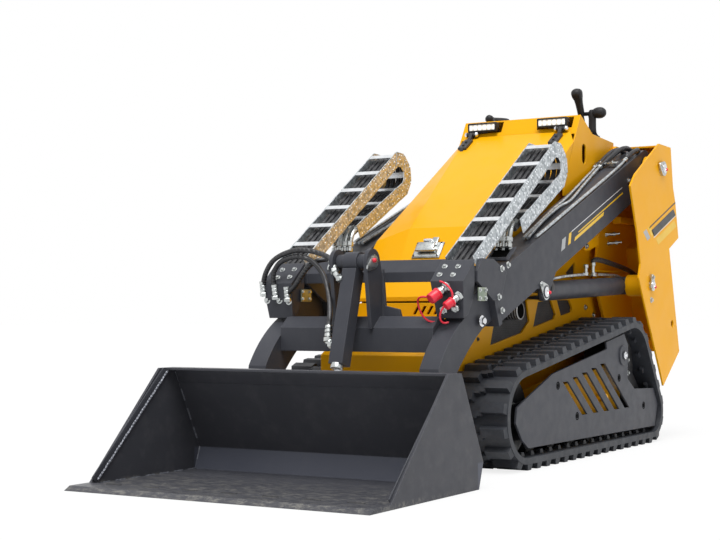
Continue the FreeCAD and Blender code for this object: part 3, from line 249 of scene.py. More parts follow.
films = {"whiteFilm": (0.80, 0.80, 0.80), "blackFilm": (0.010, 0.010, 0.011), "goldFilm": (0.90, 0.55, 0.02),
         "silverFilm": (0.42, 0.43, 0.44)}
for name, colour in films.items():
    looks[name] = {"colours": (colour, tuple(part * 0.88 for part in colour), 9), "rough": (30, 0.30, 0.42),
                   "bump": (0.08, 0.0003, 300)}
finish = {name: layered(name, look) for name, look in looks.items()}


def placeParts(tree, place):
    split = tree.nodes.new("ShaderNodeSeparateXYZ")
    tree.links.new(place, split.inputs[0])
    return split.outputs


# the track frames are yellow inside and black round the sprocket and at the idler's end
def blackEnds(tree, place, painted):
    parts = placeParts(tree, place)
    rear = spread(tree, parts["X"], 1, 0, at(345, 0, 0).x, at(355, 0, 0).x)
    front = spread(tree, parts["X"], 0, 1, at(1120, 0, 0).x, at(1130, 0, 0).x)
    outer = spread(tree, combine(tree, "ABSOLUTE", parts["Y"]), 0, 1, 0.33, 0.34)
    black = combine(tree, "MAXIMUM", rear, combine(tree, "MULTIPLY", front, outer))
    return blendColour(tree, black, painted, (0.012, 0.012, 0.014))


# the bucket's paint is scuffed through on the floor towards the cutting edge, with a lighter bluish strip above its
# heel that is partly wear and partly painted sheen
def scuffedFloorAndHeelSheen(tree, place, painted):
    parts = placeParts(tree, place)
    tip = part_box("bucket")[1].x
    forward = spread(tree, parts["X"], 0, 1, tip - 0.62, tip - 0.16)
    low = spread(tree, parts["Z"], 1, 0, 0.010, 0.020)
    scuff = spread(tree, noiseOver(tree, stretched(tree, place, (1.5, 0.7, 1)), 34, 12, 0.82), 0, 1, 0.49, 0.60)
    lightened = combine(tree, "MULTIPLY", combine(tree, "MULTIPLY", forward, low), scuff)
    # the strip above the heel: partly wear, partly painted sheen
    heelWearAndSheen = combine(tree, "MULTIPLY", spread(tree, parts["X"], 0.7, 0, tip - 0.656, tip - 0.650),
                   spread(tree, parts["Z"], 1, 0, 0.080, 0.086))
    painted = blendColour(tree, heelWearAndSheen, painted, (0.100, 0.108, 0.140))
    return blendColour(tree, lightened, painted, (0.185, 0.178, 0.165))


frameLook = {**looks["yellowPaint"], "dust": ((0.16, 0.10, 0.03), 9, 0.3)}
finish["trackFramePaint"] = layered("trackFramePaint", frameLook, blackEnds)
scuffedLook = {**looks["greyPaint"], "colours": ((0.050, 0.051, 0.060), (0.062, 0.063, 0.073), 2.0),
               "dust": ((0.13, 0.128, 0.13), 16, 0.22), "rough": (22, 0.30, 0.46)}
finish["bucketPaint"] = layered("bucketPaint", scuffedLook, scuffedFloorAndHeelSheen)


# each cell of a galvanised sheet has a shade of its own
def spangledZinc():
    material, tree, shader, place = startMaterial("spangledZinc")
    flake = tree.nodes.new("ShaderNodeSeparateColor")
    tree.links.new(textureOver(tree, "Voronoi", place, Scale=95).outputs["Color"], flake.inputs["Color"])
    colour = blendColour(tree, flake.outputs["Red"], (0.30, 0.33, 0.35), (0.62, 0.65, 0.67))
    tree.links.new(colour, shader.inputs["Base Color"])
    tree.links.new(spread(tree, flake.outputs["Green"], 0.30, 0.55, 0, 1), shader.inputs["Roughness"])
    shader.inputs["Metallic"].default_value = 0.85
    addBump(tree, shader, flake.outputs["Blue"], 0.3, 0.0006)
    return material


# perforated black mesh: rows of small holes, painted near-black as painted shade of the space behind them
def meshPanel():
    material, tree, shader, place = startMaterial("meshPanel")
    cells = textureOver(tree, "Voronoi", place, Scale=150, Randomness=0.0)
    holeShade = spread(tree, cells.outputs["Distance"], 0, 1, 0.30, 0.40)
    shade = noiseOver(tree, place, 12, 5)
    rim = blendColour(tree, spread(tree, shade, 0, 1), (0.018, 0.018, 0.02), (0.034, 0.034, 0.037))
    tree.links.new(blendColour(tree, holeShade, (0.002, 0.002, 0.002), rim), shader.inputs["Base Color"])
    tree.links.new(spread(tree, shade, 0.4, 0.6), shader.inputs["Roughness"])
    addBump(tree, shader, holeShade, 0.6, 0.001)
    return material


# lit lens: rows of small reflectors behind clear plastic, six to a lamp
def lampLens():
    material, tree, shader, place = startMaterial("lampLens")
    cells = textureOver(tree, "Voronoi", stretched(tree, place, (0, 46.875, 33.25)), Scale=1, Randomness=0.0)
    cup = spread(tree, cells.outputs["Distance"], 1, 0, 0.36, 0.60)
    tree.links.new(blendColour(tree, cup, (0.55, 0.48, 0.36), (1.0, 0.99, 0.95)), shader.inputs["Base Color"])
    tree.links.new(spread(tree, cup, 0.22, 0.10, 0, 1), shader.inputs["Roughness"])
    tree.links.new(blendColour(tree, cup, (0.25, 0.22, 0.15), (0.80, 0.79, 0.75)), shader.inputs["Emission Color"])
    shader.inputs["Coat Weight"].default_value = 0.8
    shader.inputs["Emission Strength"].default_value = 0.45
    addBump(tree, shader, cup, 0.5, 0.003)
    return material


finish.update(spangledZinc=spangledZinc(), meshPanel=meshPanel(), lampLens=lampLens())
print("materials made:", len(finish))

nodeFinish = {
    "bucketPaint": ["bucket"],
    "meshPanel": ["hull_grilles"],
    "lampLens": ["work_lamps"],
    "spangledZinc": ["cable_chain_left", "cable_chain_right"],
    "zincPlate": ["tower_pins"],
    "chromeRod": ["tilt_rod", "lift_rod_left", "lift_rod_right"],
    "castIron": ["engine_block"],
    "padVinyl": ["thigh_pad"],
    "mouldedPlastic": ["console", "drive_controls"],
    "trackRubber": ["track_left", "track_right"],
    "blackPaint": ["exhaust_stub", "hood_hinges", "hood_hinge_lugs", "drive_sprockets", "track_idlers",
                   "track_rollers"],
    "yellowPaint": ["hull", "hood", "cowl", "tower_left", "tower_right"],
    "trackFramePaint": ["track_frame_left", "track_frame_right"],
    "greyPaint": ["rear_housing", "track_guards", "platform", "outer_boom_left", "outer_boom_right",
                  "outer_cross_beam", "inner_boom_left", "inner_boom_right", "inner_cross_beam",
                  "coupler_block_left", "coupler_block_right", "attach_frame", "tilt_barrel",
                  "lift_barrel_left", "lift_barrel_right"],
}
for material, names in nodeFinish.items():
    for name in names:
        nodes[name].data.materials.clear()
        nodes[name].data.materials.append(finish[material])


def clearPick():
    if bpy.context.object and bpy.context.object.mode == "EDIT":
        bpy.ops.object.mode_set(mode="OBJECT")
    bpy.ops.object.select_all(action="DESELECT")


def activate(piece):
    clearPick()
    piece.select_set(True)
    bpy.context.view_layer.objects.active = piece


def settle(piece, name):
    activate(piece)
    bpy.ops.object.transform_apply(location=True, rotation=True, scale=True)
    piece.name = name
    return piece


def pickFaces(piece, wanted):
    activate(piece)
    mesh = piece.data
    for part in list(mesh.vertices) + list(mesh.edges):
        part.select = False
    for face in mesh.polygons:
        face.select = wanted(face.center, face.normal)
    bpy.ops.object.mode_set(mode="EDIT")


def leaveEdit():
    bpy.ops.object.mode_set(mode="OBJECT")


def facing(x=0, y=0, z=0):
    return lambda centre, normal: normal.dot(Vector((x, y, z))) > 0.9


def everyFace(centre, normal):
    return True


# one step of editing on the picked faces
def shapeFaces(piece, wanted, operator, **values):
    pickFaces(piece, wanted)
    operator(**values)
    leaveEdit()
    return piece


def addModifier(piece, kind, **values):
    activate(piece)
    modifier = piece.modifiers.new(kind.title(), kind)
    for name, value in values.items():
        setattr(modifier, name, value)
    bpy.ops.object.modifier_apply(modifier=modifier.name)
    return piece


def makeBlock(name, size, centre=(0, 0, 0), bevel=0, segments=2):
    clearPick()
    bpy.ops.mesh.primitive_cube_add(size=1, location=centre)
    piece = bpy.context.object
    piece.scale = size
    settle(piece, name)
    if bevel:
        addModifier(piece, "BEVEL", width=bevel, segments=segments)
    return piece


def turnTo(direction):
    return Vector(direction).normalized().to_track_quat("Z", "Y").to_matrix().to_4x4()


def makeRod(name, start, end, radius, sides=20, bevel=0):
    start, end = Vector(start), Vector(end)
    clearPick()
    bpy.ops.mesh.primitive_cylinder_add(vertices=sides, radius=radius, depth=(end - start).length)
    piece = bpy.context.object
    piece.data.transform(Matrix.Translation((start + end) / 2) @ turnTo(end - start))
    piece.name = name
    if bevel:
        addModifier(piece, "BEVEL", width=bevel, segments=2, limit_method="ANGLE")
    return piece


# a local frame for flat parts, in mm: x across, y up the face, z out of it
def onFace(origin, across, up):
    across = Vector(across).normalized()
    out = across.cross(Vector(up)).normalized()
    turn = Matrix((across, out.cross(across), out)).transposed().to_4x4()
    return Matrix.Translation(origin) @ turn @ Matrix.Scale(0.001, 4)


# the same for parts that keep the machine's own directions
def onSpot(x, y, z):
    return Matrix.Translation(at(x, y, z)) @ Matrix.Scale(0.001, 4)


def setDown(piece, matrix):
    piece.data.transform(matrix)
    return piece


def copyTo(piece, matrix, name):
    twin = piece.copy()
    twin.data = piece.data.copy()
    twin.data.transform(matrix)
    twin.name = name
    bpy.context.scene.collection.objects.link(twin)
    return twin


def mirrorTo(piece, name):
    twin = copyTo(piece, Matrix.Scale(-1, 4, (0, 1, 0)), name)
    twin.data.flip_normals()
    return twin


def joinAll(pieces, name):
    activate(pieces[0])
    for piece in pieces[1:]:
        piece.select_set(True)
    bpy.ops.object.join()
    bpy.context.object.name = name
    return bpy.context.object


def discard(*pieces):
    for piece in pieces:
        bpy.data.objects.remove(piece)


def dress(piece, material, body=None, smooth=35):
    piece.data.materials.clear()
    piece.data.materials.append(finish[material])
    activate(piece)
    if smooth:
        bpy.ops.object.shade_smooth_by_angle(angle=math.radians(smooth))
    if body:
        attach(piece, body)
    return piece


# both sides at once: the left piece as made and its mirror twin
def dressPair(piece, material, body, smooth=35, bodyRight=None):
    twin = mirrorTo(piece, piece.name + "Right")
    dress(piece, material, body, smooth)
    dress(twin, material, bodyRight or body, smooth)


def makeHose(name, points, radius, smoothness=4, sides=3):
    curve = bpy.data.curves.new(name, "CURVE")
    curve.dimensions = "3D"
    spline = curve.splines.new("NURBS")
    spline.points.add(len(points) - 1)
    for spot, point in zip(spline.points, points):
        spot.co = (*point, 1)
    spline.order_u = min(smoothness, len(points))
    spline.use_endpoint_u = True
    curve.resolution_u = 10
    curve.bevel_depth = radius
    curve.bevel_resolution = sides
    curve.use_fill_caps = True
    piece = bpy.data.objects.new(name, curve)
    bpy.context.scene.collection.objects.link(piece)
    activate(piece)
    bpy.ops.object.convert(target="MESH")
    return bpy.context.object


# rings are (distance along, radius) in mm; the axis starts at a point and runs in a direction
def makeTurned(name, rings, start, direction=(0, 1, 0), sides=20):
    clearPick()
    bpy.ops.mesh.primitive_circle_add(vertices=sides, radius=rings[0][1] / 1000, fill_type="NGON")
    piece = bpy.context.object
    bpy.ops.object.mode_set(mode="EDIT")
    bpy.ops.mesh.select_all(action="SELECT")
    for before, after in zip(rings, rings[1:]):
        bpy.ops.mesh.extrude_region_move(
            TRANSFORM_OT_translate={"value": (0, 0, (after[0] - before[0]) / 1000)})
        share = after[1] / before[1]
        bpy.ops.transform.resize(value=(share, share, 1), center_override=(0, 0, (after[0] - rings[0][0]) / 1000))
    bpy.ops.mesh.select_all(action="SELECT")
    bpy.ops.mesh.normals_make_consistent(inside=False)
    leaveEdit()
    first = Matrix.Translation((0, 0, rings[0][0] / 1000))
    piece.data.transform(Matrix.Translation(start) @ turnTo(direction) @ first)
    piece.name = name
    return piece


# a plate with a big and a small round end (x, z, radius), lying square to y
def makePearPlate(name, big, small, side, thick):
    discs = []
    for disc in (big, small):
        x, z, radius = [value / 1000 for value in disc]
        discs.append(makeRod("pearEnd", (x, 0, z), (x, thick / 1000, z), radius, 28))
    piece = shapeFaces(joinAll(discs, name), everyFace, bpy.ops.mesh.convex_hull)
    addModifier(piece, "BEVEL", width=0.0012, segments=2, limit_method="ANGLE")
    return setDown(piece, Matrix.Translation(at(0, side, 0)))


# a flat bar whose ends slant: length and height in mm on the plane square to y, along the boom's slope
def makeStripe(name, start, end, low, high, slant, side, thick=0.5):
    piece = makeBlock(name, ((end - start) / 1000, thick / 1000, (high - low) / 1000))
    shapeFaces(piece, facing(z=1), bpy.ops.transform.translate, value=(-slant / 1000, 0, 0))
    middle = onBoom((start + end) / 2, (low + high) / 2, side)
    return setDown(piece, Matrix.Translation(middle) @ Matrix.Rotation(boomSlope, 4, "Y"))


boltLook = {"washer": 0.95, "washerThick": 0.14, "head": 0.62, "headHigh": 0.48}  # shares of the bolt's reach


def makeBolt():
    look = boltLook
    low, high = look["washerThick"], look["headHigh"]
    washer = makeRod("boltWasher", (0, 0, 0), (0, 0, low), look["washer"], 20, 0.04)
    head = makeRod("boltHead", (0, 0, low), (0, 0, high + low), look["head"], 6, 0.05)
    shapeFaces(head, lambda centre, normal: normal.z > 0.9 and centre.z > high,
               bpy.ops.mesh.inset, thickness=0.12, depth=0.05)
    return joinAll([washer, head], "boltPattern")


bolt = makeBolt()


def setBolts(name, spots, body, reach, material="zincPlate", bothSides=False):
    copies = []
    for number, (point, direction) in enumerate(spots):
        matrix = Matrix.Translation(point) @ turnTo(direction) @ Matrix.Scale(reach, 4)
        copies.append(copyTo(bolt, matrix, name + str(number)))
    bolts = joinAll(copies, name)
    if bothSides:
        dressPair(bolts, material, body, 30)
    else:
        dress(bolts, material, body, 30)


fittingLook = {"ferrule": 10.5, "ferruleLong": 30, "nut": 12.5, "nutLong": 13, "neck": 7}


# crimped hose end with its swivel nut, from the hose's end towards the port
def makeFitting(name, start, direction, share=1.0):
    look = {key: value * share for key, value in fittingLook.items()}
    length, ridge, nutLong = look["ferruleLong"], look["ferrule"], look["nutLong"]
    rings = [(-2, ridge * 0.92), (0, ridge)]
    for groove in (0.22, 0.6):
        rings += [(length * groove, ridge), (length * (groove + 0.06), ridge * 0.86),
                  (length * (groove + 0.14), ridge)]
    rings += [(length, ridge), (length, look["neck"]), (length + 4, look["neck"])]
    ferrule = makeTurned(name, rings, start, direction, 16)
    low = Vector(start) + Vector(direction).normalized() * (length + 3) / 1000
    nut = makeTurned(name, [(0, look["nut"] * 0.9), (1.5, look["nut"]), (nutLong - 1.5, look["nut"]),
                            (nutLong, look["nut"] * 0.88)], low, direction, 6)
    return joinAll([ferrule, nut], name)


trackLook = {
    "frontWheel": (1342, 185, 185), "driveWheel": (330, 320, 203), "rearWheel": (119, 130, 130),
    "middle": 355, "halfWidth": 115, "beltThick": 22, "lugHigh": 22, "pitch": 78,
    "lugWide": 100, "lugLong": 40, "guideWide": 16, "guideSide": 68,
}


# the belt round its three wheels, as arcs and straight runs: kind, wheel, angles and length
def beltRoute(inset):
    wheels = [(x, z, radius - inset) for x, z, radius in
              (trackLook["frontWheel"], trackLook["driveWheel"], trackLook["rearWheel"])]
    leaves, straights = [], []
    for here, after in zip(wheels, wheels[1:] + wheels[:1]):
        run = math.hypot(after[0] - here[0], after[1] - here[1])
        heading = math.atan2(after[1] - here[1], after[0] - here[0])
        leaves.append(heading - math.acos((here[2] - after[2]) / run))
        straights.append(math.sqrt(run ** 2 - (here[2] - after[2]) ** 2))
    pieces = []
    for number, here in enumerate(wheels):
        arrive, leave = leaves[number - 1], leaves[number]
        while leave < arrive:
            leave += 2 * math.pi
        pieces.append(("arc", here, arrive, here[2] * (leave - arrive)))
        pieces.append(("run", here, leave, straights[number]))
    return pieces


def onRoute(route, distance):
    distance = distance % sum(piece[3] for piece in route)
    for kind, here, angle, length in route:
        if distance <= length:
            break
        distance -= length
    if kind == "arc":
        angle += distance / here[2]
        distance = 0
    normal = (math.cos(angle), math.sin(angle))
    return (here[0] + here[2] * normal[0] - normal[1] * distance,
            here[1] + here[2] * normal[1] + normal[0] * distance, normal)


def makeTrackLink(pitch):
    look = trackLook
    wide, thick, high, long = look["halfWidth"], look["beltThick"], look["lugHigh"], look["lugLong"]
    belt = makeBlock("beltBit", (pitch, 2 * wide, thick), (pitch / 2, 0, -thick / 2))
    shapeFaces(belt, lambda centre, normal: abs(normal.x) > 0.9, bpy.ops.mesh.delete, type="ONLY_FACE")
    for share in (0.25, 0.5, 0.75):
        shapeFaces(belt, everyFace, bpy.ops.mesh.bisect, plane_co=(pitch * share, 0, 0), plane_no=(1, 0, 0))
    parts = [belt]
    for side in (-1, 1):
        start = pitch * (0.25 if side > 0 else 0.75)
        tread = makeBlock("treadBit", (long, look["lugWide"], high),
                          (start, side * (wide - look["lugWide"] / 2 - 2), high / 2))
        shapeFaces(tread, facing(z=1), bpy.ops.transform.resize, value=(0.72, 0.9, 1),
                   center_override=(start, side * (wide - 44), high))
        tail = makeBlock("treadTail", (long * 0.45, 30, high * 0.86),
                         (start + side * long * 0.42, side * (wide - look["lugWide"] - 6), high * 0.43))
        guideY = side * look["guideSide"]
        guide = makeBlock("guideBit", (30, look["guideWide"], 15), (pitch / 2, guideY, -thick - 7))
        shapeFaces(guide, facing(z=-1), bpy.ops.transform.resize, value=(0.6, 0.7, 1),
                   center_override=(pitch / 2, guideY, 0))
        parts += [tread, tail, guide]
    return joinAll(parts, "trackLink")


def makeTracks():
    look = trackLook
    route = beltRoute(look["lugHigh"])
    total = sum(piece[3] for piece in route)
    count = round(total / look["pitch"])
    pitch = total / count
    link = makeTrackLink(pitch)
    links = []
    for number in range(count):
        links.append(copyTo(link, Matrix.Translation((pitch * number, 0, 0)), "trackLink" + str(number)))
    discard(link)
    belt = joinAll(links, "trackBeltLeft")
    for vertex in belt.data.vertices:
        x, z, normal = onRoute(route, vertex.co.x)
        lift = vertex.co.z
        vertex.co = at(x + normal[0] * lift, look["middle"] - vertex.co.y, z + normal[1] * lift)
    shapeFaces(belt, everyFace, bpy.ops.mesh.remove_doubles, threshold=0.0002)
    shapeFaces(belt, everyFace, bpy.ops.mesh.normals_make_consistent, inside=False)
    twin = mirrorTo(belt, "trackBeltRight")
    for piece, node in ((belt, "track_left"), (twin, "track_right")):
        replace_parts(dress(piece, "trackRubber", "chassis", 30), node)


makeTracks()
print("tracks made")

chainLook = {
    "centre": (911, 1093), "middleRadius": 63, "high": 58, "wide": 109, "plate": 4,
    "upperDip": 33.7, "lowerDip": 27.8, "upperRun": 780, "lowerRun": 382, "pitch": 43, "barLong": 24,
    "barThick": 6, "barIn": 3.5, "linksPerBar": 3, "hoses": (-34, -12, 11, 33), "hoseReach": 0.0098,
    "rivets": ((-15, -17, 3.6), (-8, 17, 3.6), (6, 17, 3.6), (14, -17, 3.6), (0, 0, 4.6)),  # x, z, radius
}


def makeChainLink():
    look = chainLook
    plates, rivets = [], []
    for side in (-1, 1):
        y = side * (look["wide"] / 2 - look["plate"] / 2)
        plates.append(makeBlock("chainPlate", (look["pitch"] + 16, look["plate"], look["high"]), (0, y, 0), 5, 1))
        out = y + side * look["plate"] / 2
        for x, z, radius in look["rivets"]:
            rivets.append(makeRod("chainRivet", (x, out - side, z), (x, out + side * 1.6, z), radius, 8, 0.7))
    return joinAll(plates, "chainLink"), joinAll(rivets, "chainRivets")


def makeChainBar():
    look = chainLook
    size = (look["barLong"], look["wide"] - 2 * look["plate"], look["barThick"])
    bars = []
    for side in (1, -1):
        bars.append(makeBlock("chainBar", size, (0, 0, side * (look["high"] / 2 - look["barIn"])), 1.5, 1))
    return joinAll(bars, "chainBarPair")


# distance runs from the fixed front end of the lower run, round the bend and down the upper run
def chainSpot(distance):
    look = chainLook
    radius = look["middleRadius"]
    lower, upper = math.radians(look["lowerDip"]), math.radians(look["upperDip"])
    startAngle = -math.pi / 2 - lower
    endAngle = math.pi / 2 - upper - 2 * math.pi
    arc = (startAngle - endAngle) * radius
    past = distance - look["lowerRun"]
    if 0 <= past < arc:
        angle = startAngle - past / radius
        dip, left, heading = 0, 0, angle - math.pi / 2
    elif past < 0:
        angle, dip, left, heading = startAngle, lower, -past, math.pi - lower
    else:
        angle, dip, left, heading = endAngle, upper, past - arc, -upper
    x = look["centre"][0] + radius * math.cos(angle) + left * math.cos(dip)
    z = look["centre"][1] + radius * math.sin(angle) - left * math.sin(dip)
    return x, z, heading


chainParts = (("chainPlates", "spangledZinc"), ("chainBars", "brightBar"), ("chainRivets", "brightBar"),
              ("chainHoses", "hoseRubber"))


def makeChains():
    look = chainLook
    link, rivets = makeChainLink()
    bars = makeChainBar()
    arc = look["middleRadius"] * (math.pi - math.radians(look["upperDip"] - look["lowerDip"]))
    low, high = look["lowerRun"], look["lowerRun"] + arc
    top = high + look["upperRun"]
    spans = {"Lower": (-30, low), "Bend": (low, high), "Upper": (high, top)}
    kinds = {kind: {part: [] for part in spans} for kind, material in chainParts}
    count = round(top / look["pitch"])
    for number in range(count):
        distance = (number + 0.5) * top / count
        x, z, heading = chainSpot(distance)
        part = "Lower" if distance < low else "Bend" if distance < high else "Upper"
        place = Matrix.Translation(at(x, boomSide, z)) @ Matrix.Rotation(-heading, 4, "Y") @ Matrix.Scale(0.001, 4)
        step = Matrix.Scale(1 - 0.018 * (number % 2), 4, (0, 1, 0))  # every other plate lies inside its neighbours
        kinds["chainPlates"][part].append(copyTo(link, place @ step, "link" + str(number)))
        kinds["chainRivets"][part].append(copyTo(rivets, place @ step, "rivets" + str(number)))
        if number % look["linksPerBar"] == 1:
            kinds["chainBars"][part].append(copyTo(bars, place, "bar" + str(number)))
    discard(link, bars, rivets)
    for part, (start, end) in spans.items():
        for offset in look["hoses"]:
            points = []
            for step in range(9):
                x, z, heading = chainSpot(start + (end - start) * step / 8)
                points.append(at(x, boomSide + offset, z))
            kinds["chainHoses"][part].append(makeHose("chainHose", points, look["hoseReach"], 3, 2))
    lowEnd, lowBend, topBend, topEnd = [at(spot[0], 0, spot[1]) for spot in map(chainSpot, (0, low, high, top))]
    middle = (lowBend + topBend) / 2
    slope = Vector((math.cos(boomSlope), 0, -math.sin(boomSlope))) * 60  # all of the bend goes half way
    reaches = {"Lower": (lowEnd, lowBend * 2 - lowEnd), "Bend": (middle - slope, middle + slope),
               "Upper": (topBend * 2 - topEnd, topEnd)}
    for side in ("Left", "Right"):
        for part, (start, end) in reaches.items():
            for kind, material in chainParts:
                copies = [copyTo(piece, Matrix.Identity(4), "copy") for piece in kinds[kind][part]]
                whole = joinAll(copies, kind + part + side)
                if side == "Right":
                    whole.data.transform(Matrix.Scale(-1, 4, (0, 1, 0)))
                    whole.data.flip_normals()
                dress(whole, material, None, 30)
                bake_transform(whole)
                if kind == "chainPlates" and part == "Upper":
                    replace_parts(whole, "cable_chain_" + side.lower())
    for table in kinds.values():
        for pieces in table.values():
            discard(*pieces)


makeChains()
print("cable chains made")

wheelLook = {"hub": (330, 320), "hubReach": 104, "hubBolts": 9, "boltRing": 78, "wheelFace": 401,
             "idlers": ((1342, 185), (119, 130)), "idlerBolts": 6, "idlerRing": 46, "guardFace": 457,
             "boss": (430, 371), "bossReach": 40,
             "guardHoleShades": ((1060, 281), (888, 159), (470, 283), (205, 159))}


def ringOf(centre, side, ring, count):
    spots = []
    for number in range(count):
        angle = 2 * math.pi * number / count
        spots.append((at(centre[0] + ring * math.cos(angle), side, centre[1] + ring * math.sin(angle)), (0, 1, 0)))
    return spots


def makeWheelTrim():
    look = wheelLook
    face, guard = look["wheelFace"], look["guardFace"]
    x, z = look["hub"]
    reach = look["hubReach"]
    cover = makeTurned("hubCover", [(0, reach), (6, reach), (9, reach - 4), (9, 58), (17, 54), (19, 50), (19, 30),
                                    (12, 26)], at(x, face, z), sides=40)
    dressPair(cover, "blackPaint", "chassis")
    spots = ringOf(look["hub"], face + 9, look["boltRing"], look["hubBolts"])
    for idler in look["idlers"]:
        spots += ringOf(idler, face, look["idlerRing"], look["idlerBolts"])
    setBolts("hubBolts", spots, "chassis", 0.011, bothSides=True)
    x, z = look["boss"]
    reach = look["bossReach"]
    boss = makeTurned("guardBoss", [(0, reach), (4, reach), (6, reach - 2), (6, 22), (4, 20)], at(x, guard, z),
                      sides=32)
    dressPair(boss, "greyPaint", "chassis")
    nut = makeTurned("bossNut", [(0, 15), (2, 16), (8, 16), (10, 13), (10, 9), (13, 8)], at(x, guard + 5, z),
                     sides=6)
    dressPair(nut, "chromeRod", "chassis", 20)
    # thin dark discs on the guard's face are painted shade standing in for its holes
    holeShades = []
    for x, z in look["guardHoleShades"]:
        holeShades.append(makeTurned("guardHoleShade", [(0, 15), (1.2, 15), (1.2, 11), (0.4, 10)], at(x, guard - 0.6, z),
                                sides=24))
    dressPair(joinAll(holeShades, "guardHoleShades"), "paintedShadeBlack", "chassis")


makeWheelTrim()

# pin keepers: big and small round ends as (x, z, reach), the red cap's centre, the face they lie on
keeperThick = 6
keepers = {
    "armPinKeeper": {"big": (0, 1149, 31), "small": (37, 1160, 13), "cap": (-17, 1146), "side": 476,
                     "body": "chassis"},
    "basePinKeeper": {"big": (144, 653, 24), "small": (148, 687, 12), "cap": (132, 646), "side": 476,
                      "body": "chassis"},
    "liftEyeKeeper": {"big": (1035, 622, 30), "small": (1072, 648, 13), "cap": (1012, 620), "side": 397,
                      "body": "arm"},
}


def makeKeepers():
    for name, look in keepers.items():
        small, cap, side, body = look["small"], look["cap"], look["side"], look["body"]
        face = side + keeperThick
        dressPair(makePearPlate(name, look["big"], small, side, keeperThick), "zincPlate", body, 25)
        x, z, reach = look["big"]
        head = makeTurned(name + "Head", [(0, reach * 0.66), (3, reach * 0.66), (4.5, reach * 0.58), (4.5, 7),
                                          (2.5, 6)], at(x, face, z), sides=32)
        dressPair(head, "chromeRod", body)
        dome = makeTurned(name + "Cap", [(0, 7), (4, 7), (7.5, 5), (9, 2)], at(cap[0], face, cap[1]), sides=14)
        dressPair(dome, "redRubber", body, 60)
        setBolts(name + "Screw", [(at(small[0], face, small[1]), (0, 1, 0))], body, 0.0105, bothSides=True)


makeKeepers()
print("wheel trim and pin keepers made")

hingeLook = {"sides": (-205, 205), "wide": 38, "long": 80, "thick": 12, "ahead": 32, "slope": 0.612,
             "line": (430, 1284), "pin": (444, 1294), "bolts": (32, 62)}


def makeHoodHinges():
    look = hingeLook
    long, thick, slope, ahead = look["long"], look["thick"], look["slope"], look["ahead"]
    run = Vector((1, 0, -slope)).normalized()
    out = Vector((slope, 0, 1)).normalized()
    straps, spots, nuts = [], [], []
    for y in look["sides"]:
        foot = at(look["line"][0] + ahead, y, look["line"][1] - slope * ahead)
        strap = makeBlock("hingeStrap", (look["wide"], long, thick), (0, -long / 2 - 4, thick / 2), 2.5)
        shapeFaces(strap, facing(y=-1), bpy.ops.transform.resize, value=(0.8, 1, 0.55), center_override=(0, 0, 0))
        straps.append(setDown(strap, onFace(foot, (0, 1, 0), -run)))
        for distance in look["bolts"]:
            spots.append((foot + (run * distance + out * thick * 0.95) / 1000, out))
        for side in (-1, 1):
            nuts.append(makeTurned("hingeCap", [(0, 11), (4, 11), (8, 9), (11, 5), (12, 2)],
                                   at(look["pin"][0], y + side * 20, look["pin"][1]), (0, side, 0), 16))
    dress(joinAll(straps, "hoodHingeStraps"), "blackPaint", "hood")
    dress(joinAll(nuts, "hoodHingeCaps"), "chromeRod", "hood", 50)
    setBolts("hoodHingeBolts", spots, "hood", 0.0095, "blackPaint")


makeHoodHinges()

# the latch's blocks are size, centre and bevel on its face, in mm
latchLook = {"centre": (1180, -11, 779), "across": (0, 1, 0), "up": (-0.62, 0, 0.785), "wide": 118, "high": 77,
             "rim": 7, "raised": 6, "screwIn": 9, "body": ((74, 34, 16), (-6, 8, 15), 3),
             "tongue": ((26, 40, 10), (22, 34, 10), 2), "handle": ((85, 13, 12), (0, -14, 22), 5, 3),
             "handleEnd": (7, 0, -9), "barrel": ((-22, 36, 16), (12, 36, 16), 8)}


# screws in the four corners of a plate, set in from its edges
def cornersOf(face, wide, high, inX, inY, out, direction):
    spots = []
    for x in (-wide / 2 + inX, wide / 2 - inX):
        for y in (-high / 2 + inY, high / 2 - inY):
            spots.append((face @ Vector((x, y, out)), direction))
    return spots


def makeLatch():
    look = latchLook
    face = onFace(at(*look["centre"]), look["across"], look["up"])
    wide, high, screwIn = look["wide"], look["high"], look["screwIn"]
    plate = makeBlock("latchPlate", (wide, high, 4), (0, 0, 2))
    pickFaces(plate, facing(z=1))
    bpy.ops.mesh.inset(thickness=look["rim"], depth=0)
    bpy.ops.transform.translate(value=(0, 0, look["raised"]))
    leaveEdit()
    addModifier(plate, "BEVEL", width=1.2, segments=2)
    parts = [plate, makeBlock("latchBody", *look["body"]), makeBlock("latchTongue", *look["tongue"])]
    dress(setDown(joinAll(parts, "latchPlate"), face), "zincPlate", "hood")
    handle = makeBlock("latchHandle", *look["handle"])
    shapeFaces(handle, facing(x=1), bpy.ops.mesh.extrude_region_move,
               TRANSFORM_OT_translate={"value": look["handleEnd"]})
    dress(setDown(handle, face), "zincPlate", "hood")
    barrel = makeRod("latchBarrel", *look["barrel"], 20, 1.5)
    dress(setDown(barrel, face), "chromeRod", "hood")
    spots = cornersOf(face, wide, high, screwIn, screwIn, 8, face.to_3x3() @ Vector((0, 0, 1)))
    setBolts("latchScrews", spots, "hood", 0.006, "blackPaint")


makeLatch()

lampLook = {"sides": (-160, 160), "wide": 134, "high": 39, "deep": 35, "rear": 405, "bottom": 1304, "frame": 3,
            "cell": 7, "ribs": 9, "ribPitch": 13}


